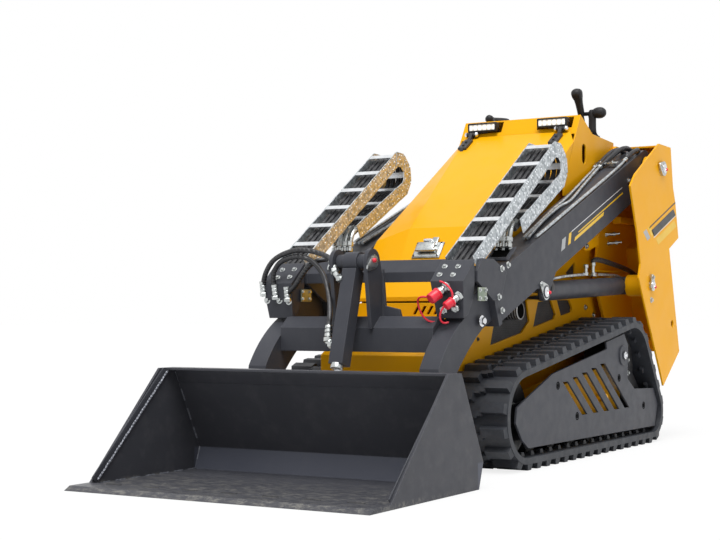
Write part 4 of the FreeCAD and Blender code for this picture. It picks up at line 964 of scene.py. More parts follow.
def makeLamps():
    look = lampLook
    deep, wide, high, frame = look["deep"], look["wide"], look["high"], look["frame"]
    frames, lenses, spots = [], [], []
    for y in look["sides"]:
        x, z = deep / 2 + look["rear"], look["bottom"] + high / 2
        shell = makeBlock("lampShell", (deep, wide, high), (0, 0, 0), 4, 2)
        pickFaces(shell, lambda centre, normal: normal.x > 0.99)
        bpy.ops.mesh.inset(thickness=frame, depth=0)
        bpy.ops.mesh.inset(thickness=1, depth=-look["cell"])
        leaveEdit()
        parts = [shell]
        for number in range(look["ribs"]):  # cooling ribs behind
            ribY = (number - look["ribs"] // 2) * look["ribPitch"]
            parts.append(makeBlock("lampRib", (5, 4, high - 8), (-deep / 2 + 1, ribY, 0), 0.8, 1))
        parts.append(makeBlock("lampFoot", (22, 40, 5), (-3, 0, -high / 2 - 2), 1))
        frames.append(setDown(joinAll(parts, "lampFrame"), onSpot(x, y, z)))
        lens = makeBlock("lampLens", (3, wide - 2 * frame - 3, high - 2 * frame - 3), (deep / 2 - 4.2, 0, 0), 1.2)
        lenses.append(setDown(lens, onSpot(x, y, z)))
        for end in (-1, 1):
            spots.append((at(x, y + end * wide / 2, z), (0, end, 0)))
    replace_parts(dress(joinAll(frames, "lampFrames"), "mouldedPlastic", "chassis"), "work_lamps")
    dress(joinAll(lenses, "lampLenses"), "lampLens", "chassis")
    setBolts("lampScrews", spots, "chassis", 0.0055, "blackPaint")


makeLamps()

controlLook = {"deck": 1299, "stickFoot": (80, 150), "stickWaist": 1339, "stickHead": (149, 150, 1476),
               "gripPost": (90, 194), "gripHigh": 1394, "leverFoot": (150, -170), "leverBend": 1385,
               "leverTip": (345, -170, 1369), "folds": 5}


def makeBellows(name, x, y, wide, high, top):
    look = controlLook
    rings = [(0, wide), (3, wide)]
    step = (high - 3) / look["folds"]
    for number in range(look["folds"]):
        reach = wide * 0.86 + (top - wide * 0.86) * number / look["folds"]
        height = 3 + step * number
        rings += [(height + step * 0.15, reach - 2), (height + step * 0.6, reach + 1),
                  (height + step * 0.9, reach - 1.5)]
    rings += [(high, top), (high + 1, top - 1)]
    return makeTurned(name, rings, at(x, y, look["deck"]), (0, 0, 1), 24)


def makeControls():
    look = controlLook
    deck = look["deck"]
    x, y = look["stickFoot"]
    head = at(*look["stickHead"])
    waist = look["stickWaist"]
    stem = makeHose("stickStem", [at(x, y, deck), at(x, y, deck + 26), at(x + 4, y, waist + 6), head], 0.0105, 3, 4)
    knob = makeTurned("stickKnob", [(-104, 12), (-96, 15), (-70, 15.5), (-46, 16.5), (-28, 18.5), (-12, 22),
                                    (2, 23.5), (11, 21.5), (17, 16), (20.5, 9), (21.5, 2)],
                      head, (head - at(x, y, waist)).normalized(), 24)
    shapeFaces(knob, lambda centre, normal: centre.z > head.z - 0.012 and normal.x > 0.3,
               bpy.ops.transform.translate, value=(0.007, 0, -0.001))
    parts = [stem, knob, makeBellows("stickBellows", x, y, 28, 34, 13)]
    x, y = look["gripPost"]
    high = look["gripHigh"]
    parts.append(makeBellows("gripBellows", x, y, 24, 26, 14))
    parts.append(makeTurned("gripPost", [(0, 17), (40, 16), (74, 16), (84, 18), (100, 18), (110, 12), (112, 4)],
                            at(x, y, deck), (0, 0, 1), 24))
    parts.append(makeRod("gripBar", at(x, y - 44, high), at(x, y + 20, high), 0.0085, 18, 0.002))
    parts.append(makeTurned("gripSleeve", [(-6, 9), (2, 16), (9, 20), (17, 23), (26, 24.5), (34, 24.5), (43, 23),
                                           (51, 19), (57, 13), (60, 5)], at(x, y + 2, high + 1), sides=28))
    x, y = look["leverFoot"]
    bend, tip = look["leverBend"], at(*look["leverTip"])
    parts.append(makeBellows("leverBellows", x, y, 22, 24, 9))
    parts.append(makeHose("leverBar", [at(x, y, deck), at(x, y, deck + 40), at(x, y, bend - 4),
                                       at(x + 30, y, bend - 2), at(x + 110, y, bend - 9), tip], 0.0078, 4, 4))
    parts.append(makeTurned("leverKnob", [(-34, 9), (-24, 11), (-8, 16), (4, 18), (12, 15), (17, 8), (18, 2)],
                            tip, (0.997, 0, -0.08), 24))
    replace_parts(dress(joinAll(parts, "handControls"), "mouldedPlastic", "chassis", 45), "drive_controls")


makeControls()
print("hinges, latch, lamps and controls made")

couplerLook = {
    "first": {"base": (1688, 338, 636), "axis": (0.75, -0.40, -0.53), "body": 14, "long": 50, "cap": 21,
              "capLong": 40},
    "second": {"base": (1682, 382, 606), "axis": (0.70, -0.45, -0.55), "body": 12, "long": 42, "cap": 17,
               "capLong": 34},
    "ports": ((1688, 330, 560), (1686, 372, 566)),
    "straps": (((1700, 320, 655), (1715, 350, 650), (1725, 385, 625), (1712, 372, 600)),
               ((1738, 306, 600), (1742, 260, 610), (1721, 236, 587), (1707, 267, 515), (1696, 300, 520)),
               ((1722, 350, 575), (1730, 320, 540), (1718, 330, 505), (1702, 352, 520))),
}


def makeCouplers():
    bodies, caps, straps = [], [], []
    for name in ("first", "second"):
        look = couplerLook[name]
        base, axis = at(*look["base"]), Vector(look["axis"]).normalized()
        reach, long, cap, capLong = look["body"], look["long"], look["cap"], look["capLong"]
        bodies.append(makeTurned("couplerNut", [(-4, reach + 5), (8, reach + 5), (10, reach + 3)], base, axis, 6))
        bodies.append(makeTurned("couplerBody", [(8, reach), (20, reach), (21, reach - 2), (26, reach - 2),
                                                 (27, reach + 2), (long - 4, reach + 2), (long, reach)],
                                 base, axis, 24))
        caps.append(makeTurned("dustCap", [(0, cap - 1), (2, cap), (6, cap), (7, cap - 2), (capLong - 5, cap - 2),
                                           (capLong - 1, cap - 4), (capLong, cap - 8)],
                               base + axis * (long - 12) / 1000, axis, 24))
    for port in couplerLook["ports"]:
        bodies.append(makeTurned("plugNut", [(0, 14), (3, 15), (10, 15), (12, 12), (12, 8), (16, 7)], at(*port),
                                 (0.98, 0, -0.2), 6))
    for route in couplerLook["straps"]:
        straps.append(makeHose("capStrap", [at(*spot) for spot in route], 0.0035, 4, 2))
    dress(joinAll(bodies, "quickCouplers"), "zincPlate", "inner_arm", 30)
    dress(joinAll(caps + straps, "couplerCaps"), "redRubber", "inner_arm", 45)


makeCouplers()

# bolts in the slanted faces of both coupler blocks
blockBolts = {"spots": ((1638, 305, 705), (1639, 356, 704), (1671, 303, 677), (1672, 354, 676)),
              "out": (0.655, 0, 0.755), "reach": 0.011}
setBolts("blockBolts", [(at(x, side * y, z), blockBolts["out"])
                        for x, y, z in blockBolts["spots"] for side in (-1, 1)], "inner_arm", blockBolts["reach"])

# supply hoses of the tilt cylinder, from the right coupler block to the two ports on its barrel
tiltHoses = {
    "tiltHoseHigh": [(1690, -404, 640), (1703, -396, 672), (1706, -372, 716), (1712, -338, 746), (1718, -268, 770),
                     (1719, -203, 773), (1712, -140, 756), (1728, -96, 742), (1737, -81, 726)],
    "tiltHoseLow": [(1690, -352, 628), (1702, -358, 672), (1706, -344, 712), (1713, -302, 741), (1716, -234, 752),
                    (1712, -182, 738), (1702, -138, 688), (1742, -92, 624), (1772, -66, 560), (1792, -58, 528),
                    (1801, -56, 504)],
    "tiltHoseShort": [(1690, -300, 620), (1702, -262, 640), (1706, -236, 672), (1702, -206, 715), (1690, -176, 736),
                      (1668, -150, 738)],
}
# the ports on the barrel: the hose's end, its direction, the port
tiltPorts = {"tiltPortHigh": ((1735, -84, 728), (0.45, 0.55, -0.75), (1768, -40, 668)),
             "tiltPortLow": ((1800, -56, 506), (0.30, 0.12, -1), (1822, -42, 446))}
blockPlugs = ((1681, -393, 596), (1681, -340, 596), (1681, -300, 592))


def makeTiltHoses():
    for name, route in tiltHoses.items():
        points = [at(*spot) for spot in route]
        hose = dress(makeHose(name, points, 0.0092, 4, 3), "hoseRubber", None, 60)
        if name == "tiltHoseShort":
            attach(hose, "inner_arm")
        else:
            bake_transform(hose)
        fitting = makeFitting(name + "Start", points[0] + Vector((0.006, 0, 0.022)), (-0.2, 0, -1), 1.15)
        dress(fitting, "zincPlate", "inner_arm", 30)
    for name, (end, direction, port) in tiltPorts.items():
        end, port = at(*end), at(*port)
        fitting = makeFitting(name, end, direction, 1.25)
        elbow = makeHose(name + "Elbow", [end + Vector(direction).normalized() * 0.056,
                                          port + Vector((0, -0.004, 0.004)), port + Vector((-0.002, 0.018, 0))],
                         0.0095, 3, 3)
        nut = makeTurned(name + "Nut", [(0, 14), (2, 15.5), (11, 15.5), (13, 13)], port, (-0.1, 1, 0.05), 6)
        dress(joinAll([fitting, elbow, nut], name), "zincPlate", "tilt_barrel", 30)
    setBolts("blockPlugs", [(at(*spot), (1, 0, 0)) for spot in blockPlugs], "inner_arm", 0.014)


makeTiltHoses()
print("couplers and tilt hoses made")

# elbows that leave the chain at the boom's collar, boom coordinates (along, above)
elbowLook = {"sides": (300, 322, 344, 366), "reach": 9.5,
             "route": ((1196, 166), (1232, 180), (1262, 182), (1288, 166), (1306, 142), (1322, 116))}


def makeChainElbows():
    look = elbowLook
    tubes, nuts = [], []
    for y in look["sides"]:
        points = [onBoom(along, above, y) for along, above in look["route"]]
        tubes.append(makeHose("elbowTube", points, look["reach"] / 1000, 4, 3))
        for number in (1, 4):
            nuts.append(makeTurned("elbowNut", [(-9, 11.5), (-7.5, 13), (7.5, 13), (9, 11.5)], points[number],
                                   points[number + 1] - points[number], 6))
        nuts.append(makeTurned("elbowCollar", [(-16, 11), (-14, 12.5), (-2, 12.5), (0, 11)], points[5],
                               points[5] - points[4], 16))
    dressPair(joinAll(tubes + nuts, "chainElbowsLeft"), "zincPlate", "arm")


makeChainElbows()

# hard lines along the top of each outer boom and the hoses that lead on over the arm pin, as (along, above, y)
lineLook = {"reach": 6, "routes": {
    "boomLineInner": ((1150, 92, 345), (1000, 92, 334), (817, 92, 320), (790, 92, 320), (695, 92, 322),
                      (600, 92, 313), (471, 92, 301), (380, 92, 292), (283, 92, 284), (250, 96, 284)),
    "boomLineMiddle": ((1150, 92, 362), (990, 92, 340), (820, 92, 334), (760, 92, 337), (735, 92, 350),
                       (690, 92, 352), (560, 92, 333), (440, 94, 320), (300, 96, 305), (250, 96, 304)),
    "boomLineOuter": ((1137, 92, 388), (1100, 92, 391), (900, 92, 389), (600, 92, 388), (400, 92, 388),
                      (236, 92, 386), (180, 92, 379), (150, 94, 379)),
}, "clamps": ((270, 322), (326, 370)), "clampAlong": 228, "pivotReach": 0.0105, "pivotRoutes": (
    ((250, 96, 284), (200, 104, 292), (140, 116, 300), (80, 118, 310), (20, 96, 318), (-20, 40, 322),
     (-40, -60, 322)),
    ((250, 96, 304), (190, 110, 318), (130, 122, 335), (70, 122, 345), (10, 98, 350), (-28, 40, 350),
     (-48, -60, 350)),
    ((150, 94, 379), (110, 104, 382), (66, 104, 400), (35, 100, 386), (0, 84, 376), (-32, 30, 374),
     (-55, -60, 374)))}


def makeBoomLines():
    look = lineLook
    lines = []
    for name, route in look["routes"].items():
        lines.append(makeHose(name, [onBoom(*spot) for spot in route], look["reach"] / 1000, 3, 2))
    dressPair(joinAll(lines, "boomLines"), "spangledZinc", "arm", 60)
    clamps, spots = [], []
    back = onBoom(-1, 0, 0) - onBoom(0, 0, 0)
    for low, high in look["clamps"]:
        face = onFace(onBoom(look["clampAlong"], 87, (low + high) / 2), (0, 1, 0), back)
        clamp = makeBlock("lineClamp", (high - low, 22, 7), (0, 0, 14), 1.5)
        foot = makeBlock("lineClampFoot", (20, 20, 14), (0, 0, 6), 1)
        clamps.append(setDown(joinAll([clamp, foot], "lineClamp"), face))
        spots.append((face @ Vector((0, 0, 17)), face.to_3x3() @ Vector((0, 0, 1))))
    dressPair(joinAll(clamps, "lineClamps"), "zincPlate", "arm")
    setBolts("lineClampBolts", spots, "arm", 0.0085, bothSides=True)
    hoses, nuts = [], []
    for route in look["pivotRoutes"]:
        points = [onBoom(*spot) for spot in route]
        hoses.append(makeHose("pivotHose", points, look["pivotReach"], 4, 3))
        nuts.append(makeFitting("pivotFitting", points[0] + (points[1] - points[0]) * 0.45, points[0] - points[1],
                                0.95))
    hose = joinAll(hoses, "pivotHosesLeft")
    for piece in (hose, mirrorTo(hose, "pivotHosesRight")):
        dress(piece, "hoseRubber", None, 60)
        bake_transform(piece)
    dressPair(joinAll(nuts, "pivotFittings"), "zincPlate", "arm", 30)


makeBoomLines()
print("boom lines and elbows made")

# bolts on both side faces: their places, side, body, reach and finish; those of the boom are (along, above)
sideBolts = {
    "neckBolts": (((1530, 521, 387),), "inner_arm", 0.021, "chromeRod"),
    "hullSideBolts": (((282, 563, 235), (195, 530, 235), (863, 420, 235), (141, 592, 470)), "chassis", 0.013,
                      "zincPlate"),
}
boomBolts = ((1541, 12, 409), (1536, -40, 409), (1484, 95, 409), (1433, 90, 409), (206, 14, 397))


def makeSideBolts():
    spots = [(onBoom(along, above, sign * y), (0, sign, 0)) for along, above, y in boomBolts for sign in (-1, 1)]
    setBolts("boomSideBolts", spots, "arm", 0.013)
    for name, (places, body, reach, material) in sideBolts.items():
        spots = [(at(x, sign * y, z), (0, sign, 0)) for x, z, y in places for sign in (-1, 1)]
        setBolts(name, spots, body, reach, material)


makeSideBolts()

# the barrel's axis lies in the x-z plane at this side; routes are (x, z), and some lead off the plane
liftLook = {
    "side": 342, "port": (430, 482, 688, 702), "risers": ((453, 39), (526, 29)), "gland": (930, 641),
    "pipe": ((854, 672, 0), (780, 682, 4), (640, 690, 4), (540, 694, 0), (526, 700, 0), (526, 712, 0)),
    "pipeRear": ((430, 696, 0), (300, 696, 0), (200, 694, 0), (177, 691, 0), (140, 684, 0)),
    "hose": ((453, 742, 0), (444, 754, 0), (420, 757, 0), (350, 754, 0), (210, 738, 0), (76, 722, 0), (15, 708, 0),
             (-40, 690, 0)),
}


# lines from the base pin's end of the lift cylinder
def makeLiftLines():
    look = liftLook
    y = look["side"]
    body, twinBody = "lift_barrel_left", "lift_barrel_right"
    routes = {name: [at(x, y + off, z) for x, z, off in look[name]] for name in ("pipe", "pipeRear", "hose")}
    low, high, bottom, top = look["port"]
    risers = [makeBlock("liftPort", ((high - low) / 1000, 0.03, (top - bottom) / 1000),
                        at((low + high) / 2, y, (bottom + top) / 2), 0.002)]
    for x, tall in look["risers"]:
        risers.append(makeTurned("liftRiser", [(0, 10), (14, 10), (16, 7.5), (tall, 7.5), (tall + 2, 11),
                                               (tall + 14, 11), (tall + 16, 8)], at(x, y, 690), (0, 0, 1), 16))
    pipes = [makeHose("liftPipe", routes[name], 0.0055, 3, 2) for name in ("pipe", "pipeRear")]
    x, z = look["gland"]
    gland = makeTurned("liftGland", [(-14, 40), (-12, 41.5), (10, 41.5), (12, 40), (12, 30)], at(x, y, z),
                       (0.996, 0, -0.035), 32)
    parts = (joinAll(risers, "liftRisers"), joinAll(pipes, "liftPipes"), gland)
    for piece, material in zip(parts, ("zincPlate", "spangledZinc", "blackPaint")):
        dressPair(piece, material, body, 40, twinBody)
    hose = makeHose("liftHose", routes["hose"], 0.0105, 4, 3)
    twin = mirrorTo(hose, "liftHoseRight")
    for piece, barrel, sign in ((hose, body, 1), (twin, twinBody, -1)):
        dress(piece, "hoseRubber", None, 60)
        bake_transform(piece)


makeLiftLines()
print("bolts and lift cylinder lines made")

# slanted bars and lines of film, boom coordinates: start, end, low, high, slant, film
stripeLook = {
    "boom": [(285, 780, -16, -11, 0, "goldFilm"), (520, 830, -33, -21, 12, "goldFilm"),
             (925, 962, -28, 10, 26, "silverFilm"), (868, 893, -28, 10, 26, "goldFilm"),
             (285, 848, 8, 11, 0, "whiteFilm")],
    "boomSide": 397.2,
    "tower": [(-103, 237, -187, -181, 0, "blackFilm"), (242, 279, -226, -178, -30, "silverFilm"),
              (196, 226, -226, -178, -30, "goldFilm"), (-85, 200, -236, -202, -18, "blackFilm"),
              (-85, 205, -240, -237, 0, "whiteFilm"), (-75, 165, -284, -252, -18, "goldFilm")],
    "towerSide": 470.2,
}


def makeStripes():
    bars = {}
    for group, body in (("boom", "arm"), ("tower", "chassis")):
        for number, (*shape, film) in enumerate(stripeLook[group]):
            bar = makeStripe(group + "Stripe" + str(number), *shape, stripeLook[group + "Side"])
            bars.setdefault((film, body), []).append(bar)
    for (film, body), pieces in bars.items():
        dressPair(joinAll(pieces, film + "On" + body.title()), film, body, 0)


makeStripes()
print("stripes laid")

tiltPinLook = {"pin": (1723, 725), "side": 76, "reach": 24, "barrelFoot": (1837, 0, 372)}


def makeTiltTrim():
    look = tiltPinLook
    x, z = look["pin"]
    side, foot = look["side"], at(*look["barrelFoot"])
    plate = makePearPlate("tiltPinKeeper", (x, z, look["reach"]), (x + 36, z - 22, 11), side, 5)
    dressPair(plate, "zincPlate", "inner_arm", 25)
    cap = makeTurned("tiltPinCap", [(0, 8), (4, 8), (7, 6), (9, 2)], at(x + 4, side + 5, z + 4), sides=14)
    dressPair(cap, "redRubber", "inner_arm", 60)
    gland = makeTurned("tiltGland", [(-10, 20), (0, 22), (8, 22), (10, 20), (10, 15)], foot, foot - at(x, 0, z), 28)
    dress(gland, "zincPlate", "tilt_barrel")


makeTiltTrim()

# pale green bulkhead plates: centre, width, height and the body that carries them
collarPlates = {"Left": ((1572, 409, 612), 62, 46, "arm"), "Right": ((1606, -280, 612), 64, 44, "inner_arm")}


def makeCollarPlates():
    for side, (centre, wide, high, body) in collarPlates.items():
        face = onFace(at(*centre), (-1, 0, 0), (0, 0, 1))
        plate = makeBlock("collarPlate" + side, (wide, high, 5), (0, 0, 2.5), 1.2)
        dress(setDown(plate, face), "greenZinc", body)
        setBolts("collarPlateBolts" + side, cornersOf(face, wide, high, 10, 9, 5, (0, 1, 0)), body, 0.0085)


makeCollarPlates()

bulkheadLook = {"along": 1342, "above": 99, "side": 342, "wide": 92, "long": 84, "rim": 12, "nuts": (-28, 0, 28)}


def makeBulkheads():
    look = bulkheadLook
    wide, long, rim = look["wide"], look["long"], look["rim"]
    slope = onBoom(1300, 112, 0) - onBoom(1385, 90, 0)
    face = onFace(onBoom(look["along"], look["above"], look["side"]), (0, 1, 0), slope)
    plate = makeBlock("bulkhead", (wide, long, 7), (0, 0, 0), 3, 2)
    pickFaces(plate, facing(z=1))
    bpy.ops.mesh.inset(thickness=rim, depth=0)
    bpy.ops.mesh.inset(thickness=1, depth=-5)
    leaveEdit()
    # a black block in the recess is painted shade of the hollow
    hollowShade = makeBlock("bulkheadHollowShade", (wide - 2 * rim - 4, long - 2 * rim - 4, 1), (0, 0, 0.6))
    dressPair(setDown(plate, face), "greyPaint", "arm")
    dressPair(setDown(hollowShade, face), "paintedShadeBlack", "arm")
    out = face.to_3x3() @ Vector((0, 0.35, 1))
    nuts = []
    for x in look["nuts"]:
        nuts.append(makeTurned("bulkheadNut", [(0, 9), (7, 9), (9, 7), (9, 5), (16, 5)], face @ Vector((x, 26, 1)),
                               out, 6))
    dressPair(joinAll(nuts, "bulkheadNuts"), "zincPlate", "arm")


# yellow brackets on the hull's sides, behind the booms: outline of the lock plate as (x, z), the rest as blocks
bracketLook = {
    "outline": ((387, 868), (300, 872), (297, 818), (408, 792), (448, 795)), "side": 297, "thick": 0.008,
    "blocks": (("lockWeb", (0.07, 0.062, 0.008), (345, 267, 822), 0.001),
               ("towerLedge", (0.38, 0.024, 0.008), (140, 289, 712), 0.001),
               ("towerBrace", (0.24, 0.040, 0.030), (-30, 300, 932), 0.004)),
    "hatch": (118, 274, 850), "studs": ((150, 868), (128, 832)), "lockBolt": (430, 305, 812),
}


def makeSideBrackets():
    look = bracketLook
    clearPick()
    bpy.ops.mesh.primitive_circle_add(vertices=5, radius=0.05, fill_type="NGON")
    plate = bpy.context.object
    for vertex, (x, z) in zip(plate.data.vertices, look["outline"]):
        vertex.co = at(x, look["side"], z)
    pickFaces(plate, everyFace)
    bpy.ops.mesh.extrude_region_move(TRANSFORM_OT_translate={"value": (0, look["thick"], 0)})
    bpy.ops.mesh.select_all(action="SELECT")
    bpy.ops.mesh.normals_make_consistent(inside=False)
    leaveEdit()
    addModifier(plate, "BEVEL", width=0.003, segments=2, limit_method="ANGLE")
    blocks = [makeBlock(name, size, at(*centre), bevel) for name, size, centre, bevel in look["blocks"]]
    dressPair(joinAll([plate] + blocks, "lockBracket"), "yellowPaint", "chassis")
    x, y, z = look["hatch"]
    # a black disc over the hatch is painted shade of the opening behind it
    holeShade = makeRod("hatchShade", at(x, y, z), at(x, y + 2, z), 0.052, 32, 0.0005)
    dressPair(holeShade, "paintedShadeBlack", "chassis")
    studs = []
    for x, z in look["studs"]:
        studs.append(makeTurned("hatchStud", [(0, 11), (8, 11), (8, 6), (34, 6), (34, 9), (44, 9), (44, 5),
                                              (62, 5)], at(x, y - 2, z), (-0.35, 1, 0.1), 12))
    dressPair(joinAll(studs, "hatchStuds"), "zincPlate", "chassis")
    setBolts("lockBolt", [(at(*look["lockBolt"]), (0, 1, 0))], "chassis", 0.014, bothSides=True)


makeBulkheads()
makeSideBrackets()
print("brackets and bulkheads made")

exhaustLook = {"centre": (1003, 553), "mouth": 282, "ribs": 4, "ribPitch": 11}


def makeExhaustRings():
    look = exhaustLook
    x, z = look["centre"]
    mouth = look["mouth"]
    rings = []
    for number in range(look["ribs"]):
        rings.append(makeTurned("exhaustRib", [(0, 34), (1.5, 36.5), (4, 36.5), (5.5, 34)],
                                at(x, mouth - 11.5 - number * look["ribPitch"], z), sides=36))
    rings.append(makeTurned("exhaustLip", [(0, 33.4), (1, 35.5), (3, 35.5), (4, 33), (4, 29.5), (1, 29.2)],
                            at(x, mouth - 3, z), sides=36))
    # a black ring inside the lip is painted shade down the pipe's throat
    throatShade = makeTurned("exhaustThroatShade", [(0, 28.6), (1.4, 28.8), (1.6, 27)], at(x, mouth - 2.6, z), sides=36)
    dress(throatShade, "paintedShadeBlack", "chassis")
    dress(joinAll(rings, "exhaustRings"), "steelCore", "chassis", 40)


makeExhaustRings()

# the side plates' inner corners as (x, z), the beads as reach, stitch and gap
bucketLook = {"half": 552, "corners": ((2010, 359), (1874, 83), (1895, 8), (2430, 8)), "cornerBead": (4, 46, 30),
              "edgeWeld": 2436, "edgeBead": (3.5, 70, 80), "edgeTack": 2446, "tacks": 7, "tackPitch": 150,
              "stripFoot": (2428, 20), "stripTop": (2068, 359), "stripSize": (26, 4), "stripBead": 4.4,
              "lipBand": (2002, 0, 337), "lipSize": (50, 6), "backSlope": (0.447, 0, 0.894)}


def makeBead(name, start, end, reach, stitch=None, gap=0):
    run = end - start
    whole = run.length * 1000
    ahead = run.normalized()
    stitch = stitch or whole
    pieces = []
    place = 0
    while place < whole - 6:
        long = min(stitch, whole - place)
        low = start + ahead * place / 1000
        count = max(4, round(long / 9))
        points = [low + ahead * long * step / count / 1000 for step in range(count + 1)]
        bead = makeHose(name, points, reach / 1000, 3, 1)
        for vertex in bead.data.vertices:  # uneven as laid by hand
            wave = math.sin(vertex.co.x * 310 + vertex.co.z * 170) + math.sin(vertex.co.y * 230 + vertex.co.z * 730)
            vertex.co += Vector((0.0002, 0.0002, 0.0005)) * wave
        pieces.append(bead)
        place += stitch + gap
    return joinAll(pieces, name)


def makeBucketTrim():
    look = bucketLook
    half = look["half"]
    corners = [at(x, half - 1, z) for x, z in look["corners"]]
    beads = []
    for start, end in zip(corners, corners[1:]):
        beads.append(makeBead("bucketWeld", start, end, *look["cornerBead"]))
    dressPair(joinAll(beads, "bucketWelds"), "weldBead", "bucket", 60)
    marks = []
    for number in range(look["tacks"]):
        y = (number - look["tacks"] // 2) * look["tackPitch"]
        marks.append(makeBlock("edgeTack", (0.012, 0.058, 0.003), at(look["edgeTack"], y, 14), 0.001, 1))
    dress(joinAll(marks, "edgeTacks"), "blackPaint", "bucket")
    x = look["edgeWeld"]
    bead = makeBead("edgeWeld", at(x, -half + 10, 10), at(x, half - 10, 10), *look["edgeBead"])
    dress(bead, "weldBead", "bucket", 60)
    # wear strip along the slanted front edge of each side plate
    start, end = [at(x, half - 2, z) for x, z in (look["stripFoot"], look["stripTop"])]
    strip = makeBlock("sideStrip", ((end - start).length * 1000, *look["stripSize"]), (0, 0, 0), 1.2)
    inset = Vector((-0.017, -0.002, 0))
    seam = makeBead("sideStripWeld", start + inset, end + inset, look["stripBead"])
    dressPair(setDown(strip, onFace((start + end) / 2, end - start, (0, 0, 1))), "greyPaint", "bucket")
    dressPair(seam, "weldBead", "bucket", 60)
    # the doubled strip under the back's top edge
    band = makeBlock("lipBand", (2 * half - 8, *look["lipSize"]), (0, 0, 0), 1)
    dress(setDown(band, onFace(at(*look["lipBand"]), (0, 1, 0), look["backSlope"])), "bucketPaint", "bucket")


makeBucketTrim()
print("exhaust and bucket trim made")

rearLook = {"deckTop": 206, "deckFront": -98, "deckRear": -436, "treadColumns": 13, "treadPitch": (28, 33),
            "louvres": 8, "louvreFace": -79, "louvreLow": 515, "louvrePitch": 36, "panelFace": -75,
            "boltSide": 235, "boltRows": (470, 640, 815, 1190)}


def makeRearTrim():
    look = rearLook
    ribs = []
    pattern = makeBlock("treadBar", (30, 5, 2.2), (0, 0, 1.1), 1, 1)
    shapeFaces(pattern, facing(z=1), bpy.ops.transform.resize, value=(0.8, 0.5, 1))
    xPitch, yPitch = look["treadPitch"]
    for row, x in enumerate(range(look["deckRear"] + 24, look["deckFront"] - 14, xPitch)):
        for column in range(look["treadColumns"]):
            y = (column - look["treadColumns"] // 2) * yPitch
            turn = Matrix.Rotation(math.radians(45 if (row + column) % 2 else -45), 4, "Z")
            ribs.append(copyTo(pattern, onSpot(x, y, look["deckTop"] - 0.4) @ turn, "treadBar" + str(column)))
    discard(pattern)
    dress(joinAll(ribs, "platformTread"), "greyPaint", "platform", 0)
    hoods = []
    for number in range(look["louvres"]):
        hood = makeBlock("louvreHood", (10, 318, 12), (0, 0, 0), 1.5)
        shapeFaces(hood, facing(z=-1), bpy.ops.transform.translate, value=(-7, 0, 0))
        high = look["louvreLow"] + look["louvrePitch"] * number
        hoods.append(setDown(hood, onSpot(look["louvreFace"], 0, high)))
    dress(joinAll(hoods, "rearLouvres"), "greyPaint", "chassis")
    face, wide = look["panelFace"], look["boltSide"]
    spots = [(at(face, side * wide, z), (-1, 0, 0)) for z in look["boltRows"] for side in (-1, 1)]
    setBolts("rearPanelBolts", spots, "chassis", 0.011)


makeRearTrim()

padLook = {"centre": (-101.5, 0, 1000), "size": (44, 364, 284), "voxel": 0.005, "pressure": 4, "swellCap": 0.007,
           "channels": (-63, 63), "channelDeep": 0.005, "channelWide": 0.014, "steps": 20, "cut": 16,
           "piping": 0.0032, "wall": -75.5}


# the back rest swells under air pressure, then its sewn channels and piping are added
def makePad():
    look = padLook
    x, y, z = look["centre"]
    pad = setDown(makeBlock("backPad", look["size"], (0, 0, 0), 12, 4), onSpot(x, y, z))
    addModifier(pad, "REMESH", mode="VOXEL", voxel_size=look["voxel"])
    start = [vertex.co.copy() for vertex in pad.data.vertices]
    activate(pad)
    cloth = pad.modifiers.new("Cloth", "CLOTH")
    cloth.settings.use_pressure = True
    cloth.settings.uniform_pressure_force = look["pressure"]
    cloth.settings.effector_weights.gravity = 0
    for step in range(1, look["steps"] + 1):
        bpy.context.scene.frame_set(step)
    bpy.ops.object.modifier_apply(modifier=cloth.name)
    bpy.context.scene.frame_set(1)
    for vertex, before in zip(pad.data.vertices, start):
        move = vertex.co - before
        if move.length > look["swellCap"]:
            vertex.co = before + move.normalized() * look["swellCap"]
    back, middle = at(look["wall"], 0, 0).x, at(x, 0, 0).x
    for vertex in pad.data.vertices:
        for channel in look["channels"]:
            off = abs(vertex.co.y - channel / 1000)
            if off < look["channelWide"] and vertex.co.x < middle:
                vertex.co.x += look["channelDeep"] * (1 - off / look["channelWide"]) ** 2
        vertex.co.x = min(vertex.co.x, back)  # the back stays flat on the housing
    addModifier(pad, "SUBSURF", levels=1, render_levels=1)
    dress(pad, "padVinyl", "chassis", 60)
    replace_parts(pad, "thigh_pad")
    wide, high, cut = look["size"][1] / 2 - 2, look["size"][2] / 2 - 2, look["cut"]
    corners = []
    for side, top in ((1, 1), (1, -1), (-1, -1), (-1, 1)):
        pair = [at(x - 13, y + side * (wide - cut), z + top * high),
                at(x - 13, y + side * wide, z + top * (high - cut))]
        corners += pair if side == top else pair[::-1]
    corners += [corners[0], corners[0] + (corners[1] - corners[0]) * 0.3]  # the ends of the piping overlap
    dress(makeHose("padPiping", corners, look["piping"], 3, 2), "padVinyl", "chassis", 60)


makePad()
print("rear panel, platform and pad made")

deckLook = {"high": 1298, "gauges": ((-62, 27), (0, 27), (64, 19)), "gaugeX": 205, "switches": (-110, -92, 108),
            "switchX": 200, "corners": ((74, 200), (236, 200), (74, -200), (236, -200)),
            "sideBolts": ((1262, 452, 235), (60, 980, 265))}


